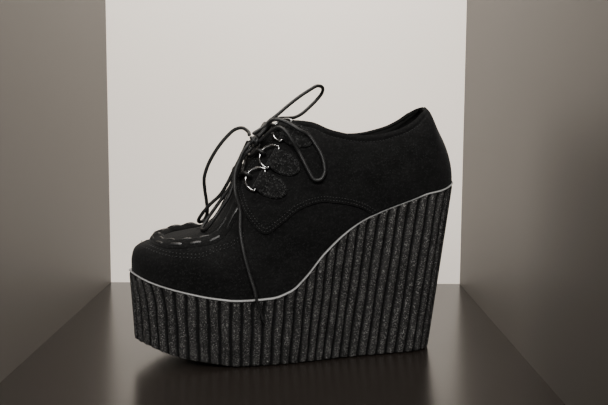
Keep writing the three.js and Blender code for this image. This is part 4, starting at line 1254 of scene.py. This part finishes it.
def throat_half(x):
    """Half width of the throat opening seen from above."""
    begin, run = place_at(THROAT_START), THROAT_WIDTH / 2 * 0.6
    t = np.clip((x - begin) / run, 0, 1)
    return np.where(x < begin, 0.0, THROAT_WIDTH / 2 * np.sqrt(1 - (1 - t) ** 2))


def throat_turn(x, inset, side):
    """The turn where the form meets the throat opening, or the ridge before it starts."""
    middle = section_ridge(share_at(x)) * BALL_WIDTH
    half = throat_half(x)
    y = middle - half if side == "outer" else middle + half
    turn = turn_across(x, y, inset)
    ridge = (x < place_at(THROAT_START)) | (x > place_at(THROAT_END))
    return np.where(ridge, 0.5, np.minimum(turn, 0.5) if side == "outer" else np.maximum(turn, 0.5))


def panel_points(x, low, high, inset, rows):
    """Columns of points up the form at each station, evenly spaced between two turns."""
    t = low[:, None] + (high - low)[:, None] * np.linspace(0, 1, 161)[None, :]
    fine = arch(x[:, None], t, inset)
    run = np.cumsum(np.linalg.norm(np.diff(fine, axis=1), axis=2), axis=1)
    arc = np.concatenate([np.zeros((len(x), 1)), run], 1)
    points = np.empty((len(x), rows + 1, 3))
    for i in range(len(x)):
        s = np.linspace(0, arc[i, -1], rows + 1)
        for k in range(3):
            points[i, :, k] = np.interp(s, arc[i], fine[i, :, k])
    return points, arc[:, -1]


# Creases of wear in side view: start, end, half width, depth (a ridge if negative)
CREASES = {
    "outer": [
        ((-60, 84), (-38, 104), 3.5, 0.5),
        ((-50, 72), (-28, 98), 4.0, 0.45),
        ((-20, 70), (4, 92), 6.0, 0.5),
        ((20, 120), (40, 108), 6.0, 0.5),
        ((36, 140), (52, 126), 6.0, 0.6),
        ((60, 150), (84, 146), 5.0, -0.4),
        ((62, 138), (92, 150), 6.0, 0.5),
        ((92, 166), (108, 146), 6.0, 0.5),
        ((-96, 70), (-80, 76), 6.0, 0.3),
    ],
    "inner": [
        ((-62, 84), (-40, 106), 4.0, 0.55),
        ((-52, 70), (-30, 96), 4.5, 0.5),
        ((-22, 74), (2, 96), 6.0, 0.4),
        ((24, 124), (44, 112), 6.0, 0.5),
        ((44, 140), (66, 130), 7.0, 0.5),
        ((80, 158), (100, 148), 6.0, 0.4),
    ],
}


def creased(points, side):
    """Soft troughs and ridges worked into a panel along its outward direction."""
    out = unit(np.cross(np.gradient(points, axis=0), np.gradient(points, axis=1)))
    flip = np.sign(out[..., 1]) != (-1 if side == "outer" else 1)
    out = np.where(flip[..., None], -out, out)
    depth = np.zeros(points.shape[:2])
    xz = points[..., [0, 2]]
    for start, end, half, deep in CREASES[side]:
        a, b = np.array(start, float), np.array(end, float)
        t = np.clip(((xz - a) @ (b - a)) / np.dot(b - a, b - a), 0, 1)
        off = np.linalg.norm(xz - (a + t[..., None] * (b - a)), axis=-1)
        ends = ease(0, 0.3, t) * ease(1, 0.7, t)
        depth += deep * np.exp(-((off / half) ** 2)) * (0.25 + 0.75 * ends)
    return points - out * depth[..., None], out


def close_ridge(bm):
    """The two halves of a panel joined along the ridge, their faces turned outwards."""
    weld(bm, 0.03, face_out=False)
    bmesh.ops.recalc_face_normals(bm, faces=bm.faces[:])
    top_up(bm)


def stations(start, end, toe_run, heel_run, step):
    """Places along the shoe, closer together over the first and the last run."""
    front = start + toe_run * (1 - np.cos(np.linspace(0, np.pi / 2, 18)))
    back = end - heel_run + heel_run * np.sin(np.linspace(0, np.pi / 2, 22))
    middle = np.arange(start + toe_run, end - heel_run, step)
    return np.unique(np.round(np.concatenate([front, middle, back]), 4))


def vamp():
    """Front of the upper, from toe to under the quarters."""
    bm = new_bm()
    start = plan(UPPER_SETBACK + VAMP_INSET)[0]
    x = stations(start + 0.01, place_at(0.735), 30, 4, 2.0)
    throat = place_at(THROAT_START) + np.array((0.0, 0.1, 0.4, 1.0, 2.0, 3.4, 5.2, 7.5))
    x = np.unique(np.concatenate([x[np.abs(x - throat.mean()) > 5], throat]))
    cover = np.interp(x, low_branch[:, 0], low_branch[:, 1]) + 7
    cover = np.where(x < place_at(0.335), 1e3, cover)
    for side in ("outer", "inner"):
        foot = np.full(len(x), 0.0 if side == "outer" else 1.0)
        high = throat_turn(x, VAMP_INSET, side)
        under = turn_at_height(x, cover, VAMP_INSET, side)
        high = np.minimum(high, under) if side == "outer" else np.maximum(high, under)
        points, _ = panel_points(x, foot, high, VAMP_INSET, 44)
        points, _ = creased(points, side)
        ridge = x <= place_at(THROAT_START) + 1e-6
        fixed, _ = panel_points(x, foot, high, VAMP_INSET, 44)
        points[ridge, -1] = fixed[ridge, -1]
        add_grid(bm, points, across=200, along=90)
    close_ridge(bm)
    piece = finish_piece("vamp", bm, [suede, lining], ["upper"])
    return wall(piece, VAMP_SHEET, inner_look=1)


# Distance of the fold below the collar, and the small bump at its heel end
COLLAR_FOLD = 4.6
BUMP_AT, BUMP_RISE, BUMP_HALF = 0.915, 1.6, 4.5


def quarters():
    """Back of the upper, over the vamp, with the rolled collar and the fold under it."""
    bm = new_bm()
    end = plan(UPPER_SETBACK)[1]
    front = float(front_branch[0, 0])
    x = stations(front + 0.03, end - 0.01, 10, 34, 1.9)
    x = np.unique(np.concatenate([x, np.linspace(place_at(0.9), place_at(0.935), 18)]))
    x = x[np.concatenate([[True], np.diff(x) > 0.12])]
    collar = np.interp(x, collar_line[:, 0], collar_line[:, 1], left=1e3)
    ahead = np.interp(x, front_branch[:, 0], front_branch[:, 1], right=1e3)
    bump = BUMP_RISE * np.exp(-(((x - place_at(BUMP_AT)) / BUMP_HALF) ** 2))
    top = np.minimum(collar, ahead) + bump
    foot = np.interp(x, low_branch[:, 0], low_branch[:, 1], right=-1e3)
    for side in ("outer", "inner"):
        low = turn_at_height(x, foot, 0.0, side)
        high = turn_at_height(x, top, 0.0, side)
        throat = throat_turn(x, 0.0, side)
        high = np.minimum(high, throat) if side == "outer" else np.maximum(high, throat)
        points, length = panel_points(x, low, high, 0.0, 56)
        flat = points.copy()
        points, out = creased(points, side)
        below = (1 - np.linspace(0, 1, 57))[None, :] * length[:, None]
        slope = np.gradient(top, x)
        below = below * np.cos(np.arctan(np.clip(slope, -3, 3)))[:, None]
        at_collar = ((top >= collar - 0.01) | (x > place_at(0.89))) * ease(0.42, 0.47, share_at(x))
        roll = 0.45 * np.exp(-(((below - 2.2) / 1.6) ** 2))
        roll = roll - 0.65 * np.exp(-(((below - COLLAR_FOLD) / 0.8) ** 2))
        points = points + out * (roll * at_collar[:, None])[..., None]
        closed = np.abs(high - 0.5) < 1e-6
        points[closed, -1] = flat[closed, -1]
        add_grid(bm, points, across=200, along=90)
    close_ridge(bm)
    piece = finish_piece("quarters", bm, [suede, lining], ["upper"])
    return wall(piece, QUARTER_SHEET, inner_look=1, edge=0.5, even=False)


def tongue_piece():
    """Tongue under the quarters, swelling along its middle."""
    bm = new_bm()
    inset = QUARTER_STEP + UPPER_WALL + GAP
    low, high = place_at(0.21), place_at(0.462)
    at = [low, low + 6, low + 20, high - 12, high - 3, high]
    widths = [0.45, 0.7, 0.85, 1, 0.9, 0.7]
    x = np.unique(np.concatenate([np.linspace(low, high, 48), high - np.array((0.5, 1.2, 2.0))]))
    half = np.interp(x, at, widths) * TONGUE_WIDTH / 2
    v = np.linspace(-1, 1, 31)
    y = (section_ridge(share_at(x)) * BALL_WIDTH)[:, None] + half[:, None] * v[None, :]
    x = x[:, None] + 0 * v[None, :]
    swell = 1.3 * np.exp(-((v[None, :] / 0.75) ** 4))
    swell = swell * ease(low + 4, low + 22, x) * ease(high + 2, high - 14, x)
    points, _ = over_form(x, y, float(inset), swell)
    add_grid(bm, points, across=70, along=40)
    weld(bm, 0.02)
    top_up(bm)
    piece = finish_piece("tongue_leather", bm, [suede, lining], ["tongue"])
    return wall(piece, TONGUE_SHEET, inner_look=1, edge=0.6)


vamp()
quarters()
tongue_piece()


# Apron braid: a raised band and two rows of patent strips laced through it

braid_path = spaced(spline([(place_at(a), side * BALL_WIDTH) for a, side in BRAID_PATH]), count=400)
braid_arc = run_length(braid_path)
braid_way = unit(np.gradient(braid_path, braid_arc, axis=0))


def beside_braid(s, offset):
    """A place beside the middle line of the band, seen from above."""
    x, y = (np.interp(s, braid_arc, braid_path[:, k]) for k in (0, 1))
    tx, ty = (np.interp(s, braid_arc, braid_way[:, k]) for k in (0, 1))
    return x - ty * offset, y + tx * offset


BAND_CROWN = 1.45
# Puckers on the far side of the apron: height, how much more towards the throat, waves on top
FAR_PUCKER, PUCKER_GROWS, PUCKER_WAVE = 2.3, 1.3, 0.5


def braid_rise(s, offset):
    """Height of the band over the vamp: its ends run out, its far side is puckered."""
    crown = (1 - np.abs(offset / (BRAID_WIDTH / 2)) ** 2.4) ** 0.8
    ridge = -0.2 * np.exp(-((offset / 0.5) ** 2))
    ends = ease(2.5, 9.0, s) * ease(braid_arc[-1] - 2.5, braid_arc[-1] - 9.0, s)
    share = s / braid_arc[-1]
    far = ease(0.46, 0.56, share) * ease(0.93, 0.84, share)
    height = FAR_PUCKER + PUCKER_GROWS * ease(0.6, 0.78, share)
    pucker = far * crown * (height + PUCKER_WAVE * np.cos(2 * np.pi * s / STRIP_PITCH))
    return 0.05 + (BAND_CROWN * crown + ridge) * (0.25 + 0.75 * ends) + pucker


def apron_band():
    bm = new_bm()
    s = np.linspace(3.2, braid_arc[-1], 150)[:, None]
    offset = (BRAID_WIDTH / 2) * np.sin(np.linspace(-np.pi / 2, np.pi / 2, 19))[None, :] * 0.999
    x, y = beside_braid(s + 0 * offset, offset + 0 * s)
    points, _ = over_form(x, y, VAMP_INSET, braid_rise(s, offset))
    add_grid(bm, points, across=280, along=13)
    weld(bm, 0.02, face_out=False)
    top_up(bm)
    piece = finish_piece("apron_band", bm, [suede], ["apron_braid"])
    return wall(piece, BAND_SHEET, edge=0)


# Width of a strip as it is drawn, narrower than the solid's 2.6
STRIP_DRAWN = 1.5


def apron_strips():
    """Two rows of short patent strips, domed, their ends dipping into the band."""
    bm = new_bm()
    count = int(braid_arc[-1] // STRIP_PITCH)
    for row in (1, -1):
        for k in range(count + 1):
            middle = (k + 0.5 + row * 0.25) * STRIP_PITCH
            if not STRIP_LENGTH / 2 + 3 < middle < braid_arc[-1] - STRIP_LENGTH / 2:
                continue
            reach = STRIP_LENGTH / 2 + 0.5 + 0.25 * math.sin(k * 2.3 + row)
            s = middle + reach * np.sin(np.linspace(-np.pi / 2, np.pi / 2, 13))[:, None]
            v = np.sin(np.linspace(-np.pi / 2, np.pi / 2, 9))[None, :]
            offset = row * STRIP_SPACING + v * STRIP_DRAWN / 2 + 0.15 * math.sin(k * 1.7)
            x, y = beside_braid(s + 0 * v, offset + 0 * s)
            along = np.abs((s - middle) / reach)
            dome = (1 - along**2.6) * (0.55 + 0.45 * np.sqrt(np.clip(1 - v**2, 0, 1)))
            rise = braid_rise(s, offset) - 0.35 + (STRIP_HEIGHT + 0.3) * dome
            points, _ = over_form(x, y, VAMP_INSET, rise)
            add_grid(bm, points, across=8, along=3)
    bmesh.ops.recalc_face_normals(bm, faces=bm.faces[:])
    for face in bm.faces[:]:
        if face.normal.z < 0:
            face.normal_flip()
    return finish_piece("apron_strips", bm, [patent])


apron_band()
apron_strips()


# Rings, their tabs and the laces through them

LACING_FIRST = (0.3775, 0.655)
LACING_LAST = (0.4633, 0.888)
LACING_COUNT = 3
FOLD_WALL = 1
FOLD_RADIUS = RING_WIRE / 2 + GAP + FOLD_WALL
BAR_LIFT = GAP + FOLD_RADIUS
PROBE = 2


def side_point(at, rise):
    x = place_at(at)
    return np.array((x, welt_top(x) + rise * INSTEP_RISE))


def bar_frame(number, side):
    """A ring bar's middle, and the ways along it, towards the throat and out of the leather."""
    share = number / (LACING_COUNT - 1)
    middle = side_point(*(np.array(LACING_FIRST) * (1 - share) + np.array(LACING_LAST) * share))
    way = unit(side_point(*LACING_LAST) - side_point(*LACING_FIRST))

    def seat(a, b):
        x, z = middle[0] + way[0] * a - way[1] * b, middle[1] + way[1] * a + way[0] * b
        point = arch(x, turn_at_height(x, z, 0.0, side), 0.0)
        return np.array((x, point[1], z))

    along = unit(seat(PROBE, 0) - seat(-PROBE, 0))
    across = unit(seat(0, PROBE) - seat(0, -PROBE))
    out = unit(np.cross(along, across))
    if out[1] * (-1 if side == "outer" else 1) < 0:
        out = -out
    reach = np.cross(out, along)
    if np.dot(reach, across) < 0:
        reach = -reach
    return seat(0, 0), along, reach, out


def in_frame(bar, a, b, c):
    origin, along, reach, out = bar
    return origin + np.multiply.outer(a, along) + np.multiply.outer(b, reach) + np.multiply.outer(c, out)


bars = {side: [bar_frame(k, side) for k in range(LACING_COUNT)] for side in ("outer", "inner")}
SIDE_WORDS = {"outer": "lateral", "inner": "medial"}


# Share of the solid's wire that is drawn, as the photograph shows the wire thinner
WIRE_DRAWN = 0.82


def ring_piece(bar, number, side):
    """A wire ring: a straight bar closed by an arc."""
    half = (RING_LENGTH - RING_WIRE) / 2
    angle = np.pi * np.arange(1, 16) / 16
    a = np.concatenate([half * np.array((-0.93, -0.45, 0, 0.45, 0.93)), half * np.cos(angle)])
    b = np.concatenate([np.zeros(5), RING_REACH * np.sin(angle) ** 0.8])
    line = centripetal(in_frame(bar, a, b, np.full(len(a), BAR_LIFT)), closed=True, steps=5)
    bm = new_bm()
    add_tube(bm, line, RING_WIRE / 2 * WIRE_DRAWN, closed=True)
    weld(bm)
    word = SIDE_WORDS[side]
    name = f"ring_{word}_{number}"
    return finish_piece(name, bm, [chrome], ["d_" + name])


def on_leather(bar, a, b, side, lift):
    """Points over the quarter for places in the bar's own plane."""
    out = bar[3]
    shift = np.zeros(np.broadcast(a, b).shape)
    for _ in range(6):
        p = in_frame(bar, a + shift * 0, b + shift * 0, shift)
        surface = arch(p[..., 0], turn_at_height(p[..., 0], p[..., 2], 0.0, side), 0.0)[..., 1]
        shift = shift + (surface - p[..., 1]) * out[1]
    return in_frame(bar, a + shift * 0, b + shift * 0, shift + lift)


def tab_shape(share):
    """Half width of the tab at a share of its depth from the fold to the round end."""
    half = TAB_WIDTH / 2
    round_part = np.clip((share - 1 / 3) * 1.5, 0, 1)
    wide = half * 1.2 * np.sqrt(1 - round_part**2)
    return np.where(share < 1 / 3, half * (1 + 0.2 * ease(0, 0.33, share)), wide)


def tab_rise(b):
    """Height of the tab over the quarter, up to its fold round the ring."""
    near = ease(-9.0, 0.0, b)
    return GAP + TAB_THICKNESS - 0.35 + (BAR_LIFT + FOLD_RADIUS - TAB_THICKNESS - GAP + 0.1) * near


def tab_piece(bar, number, side):
    """Tab that lies on the quarter and folds round the bar of its ring."""
    bm = new_bm()
    share = np.sin(np.linspace(np.pi / 2, 0, 26))[:, None]
    even = np.linspace(-1, 1, 21)[None, :]
    v = np.sin(even * np.pi / 2) * 0.6 + even * 0.4
    b = -TAB_DEPTH * share + 0 * v
    a = tab_shape(share) * v
    edge = 0.35 * (1 - ease(1.0, 0.86, np.abs(v))) * (0.4 + 0.6 * ease(0, 0.4, share))
    flap = on_leather(bar, a, b, side, tab_rise(b) - edge + 0.15 * np.cos(a / 2.2))
    angle = np.radians((20, 45, 70, 95, 120, 150, 180))
    fold_a = np.broadcast_to(tab_shape(np.zeros(1)) * v, (len(angle), v.shape[1]))
    fold_b = np.broadcast_to((FOLD_RADIUS * np.sin(angle))[:, None], fold_a.shape)
    fold_c = np.broadcast_to((BAR_LIFT + FOLD_RADIUS * np.cos(angle))[:, None], fold_a.shape)
    fold = in_frame(bar, fold_a, fold_b, fold_c)
    add_grid(bm, np.concatenate([flap, fold]), across=34, along=15)
    weld(bm, 0.03, face_out=False)
    origin, _, _, out = bar
    above = Vector((origin + out * 4) * MM)
    face = min(bm.faces, key=lambda f: (f.calc_center_median() - above).length_squared)
    if np.dot(face.normal, out) < 0:
        bmesh.ops.reverse_faces(bm, faces=bm.faces[:])
    word = SIDE_WORDS[side]
    name = f"tab_{word}_{number}"
    piece = finish_piece("ring_" + name, bm, [tab_suede, cut_edge], [name])
    return wall(piece, TAB_SHEET, rim_look=1, edge=0.25)


def tab_stitches(bar, number, side):
    """A row round the edge of a tab and a row across it."""
    bm = new_bm()
    out = bar[3]
    share = np.sin(np.linspace(0.28, np.pi / 2, 30))
    half = tab_shape(share) - 1.7 * (1 - 0.2 * share)
    edge_a = np.concatenate([-half, half[::-1][1:]])
    edge_b = -TAB_DEPTH * np.concatenate([share, share[::-1][1:]])
    edge_b = np.maximum(edge_b, -TAB_DEPTH + 1.7)
    across_a, across_b = np.linspace(-5.6, 5.6, 12), np.full(12, -5.9)

    def at(a, b):
        return on_leather(bar, a, b, side, tab_rise(b))

    for a, b in ((edge_a, edge_b), (across_a, across_b)):
        line = on_leather(bar, a, b, side, tab_rise(b) + 0.12)
        ahead = at(a + 0.1, b) - at(a - 0.1, b)
        over = at(a, b + 0.1) - at(a, b - 0.1)
        way = unit(np.cross(ahead, over))
        way = np.where((way @ out)[:, None] < 0, -way, way)
        add_stitches(bm, line, way, length=1.5, pitch=2.1)
    return finish_piece(f"tab_stitches_{SIDE_WORDS[side]}_{number}", bm, [thread])


# The laces hook 0.7 closer round the rings than the solids, whose crossings are joined.
# Here one of two crossing strands lies low and the other passes over it.
HOOK_CLEAR = LACE_DIAMETER / 2 + RING_WIRE / 2 + 0.35
LACE_LIFTS = (2.8, 0.6, 0.6, 2.8)
UNDER_LIFTS = (2.8, 0.7, 0.9, 2.8)
OVER_LIFTS = (2.8, 2.4, 3.0, 2.8)


def ring_hook(bar):
    """Points that rise through a ring and hook over its arc towards the throat."""
    angle = np.radians((-30, -8, 40, 90, 140))
    reach = RING_REACH - HOOK_CLEAR * np.cos(angle)
    lift = BAR_LIFT + HOOK_CLEAR * np.sin(angle)
    return in_frame(bar, np.zeros(len(angle)), reach, lift)


def strand(start_bar, end_bar, lifts=LACE_LIFTS):
    """Points of the lace from one ring to another, over the tongue between them."""
    first, last = ring_hook(start_bar), ring_hook(end_bar)[::-1]
    share = np.arange(1, len(lifts) + 1) / (len(lifts) + 1)
    flat = first[-1] * (1 - share[:, None]) + last[0] * share[:, None]
    over = np.array([over_form(p[0], p[1], 0.0, np.array(lift))[0] for p, lift in zip(flat, lifts)])
    return np.concatenate([first, over, last])


def crossings():
    """The lace between the rings, and its two ends up to the knot."""
    bm = new_bm()
    outer, inner = bars["outer"], bars["inner"]
    lines = [strand(outer[0], inner[0])]
    for k in range(LACING_COUNT - 1):
        lines.append(strand(outer[k], inner[k + 1], UNDER_LIFTS))
        lines.append(strand(inner[k], outer[k + 1], OVER_LIFTS))
    for side in (outer, inner):
        hook = ring_hook(side[-1])
        way = unit(hook[-1] - KNOT_PLACE)
        lines.append(np.concatenate([hook, [KNOT_PLACE + way * 3.0]]))
    for line in lines:
        add_tube(bm, spaced(centripetal(line, steps=12), pitch=0.9), LACE_DIAMETER / 2)
    weld(bm)
    return finish_piece("lace_crossings", bm, [waxed], ["lace_bars"])


for bar_side, side_bars in bars.items():
    for bar_number, bar_here in enumerate(side_bars, 1):
        ring_piece(bar_here, bar_number, bar_side)
        tab_piece(bar_here, bar_number, bar_side)
        tab_stitches(bar_here, bar_number, bar_side)
crossings()


# Seams


def offset_line(line, distance):
    """A line in side view moved to its left."""
    way = unit(np.gradient(line, axis=0))
    return line + np.stack([-way[:, 1], way[:, 0]], 1) * distance


QUARTER_ROWS = (1.6, 3.9)


def quarter_stitches():
    """Two rows just inside the front and lower edge of each quarter."""
    bm = new_bm()
    for side in ("outer", "inner"):
        for distance in QUARTER_ROWS:
            line = offset_line(quarter_line, distance)
            line = spaced(line[line[:, 0] < place_at(0.72)], pitch=1.0)
            turn = throat_turn(line[:, 0], 0.0, side)
            roof = arch(line[:, 0], turn, 0.0)[:, 2] - distance * 0.8
            z = np.minimum(line[:, 1], roof)
            keep = z > welt_top(line[:, 0]) + 1
            points, out = on_side(line[keep, 0], z[keep], side, 0.0, 0.0)
            add_stitches(bm, points, out, length=1.3, pitch=2.3)
    return finish_piece("quarter_stitches", bm, [thread])


def collar_stitches():
    """A dark row in the fold under the collar."""
    bm = new_bm()
    for side in ("outer", "inner"):
        line = offset_line(collar_line, -COLLAR_FOLD)
        line = spaced(line[(line[:, 0] > place_at(0.45)) & (line[:, 0] < place_at(0.925))], pitch=1.0)
        points, out = on_side(line[:, 0], line[:, 1], side, 0.0, -0.35)
        add_stitches(bm, points, out, length=1.7, pitch=2.5)
    return finish_piece("collar_stitches", bm, [dark_thread])


# The lower row round the apron in side view, before it drops by APRON_ROW_DROP
APRON_ROW = [
    (-116.6, 86.6), (-115, 86.6), (-111, 85.8), (-102, 83.4), (-95, 82.4), (-84, 81.7),
    (-77, 81.8), (-70, 83.8), (-64, 86.4), (-56, 88.3), (-49, 92.5), (-44, 97.0),
]
APRON_ROW_DROP = 1.2
APRON_ROW_SPACING = 2.3


def apron_stitches():
    """Two fine rows round the apron, above the side of the vamp."""
    bm = new_bm()
    line = spline(APRON_ROW, 16)
    for shift in (0.0, APRON_ROW_SPACING):
        for side in ("outer", "inner"):
            z = line[:, 1] + shift - APRON_ROW_DROP
            points, out = on_side(line[:, 0], z, side, VAMP_INSET, 0.0)
            add_stitches(bm, points, out, length=1.3, pitch=2.7, width=0.6, slant=0.6)
    return finish_piece("apron_stitches", bm, [thread])


quarter_stitches()
collar_stitches()
apron_stitches()
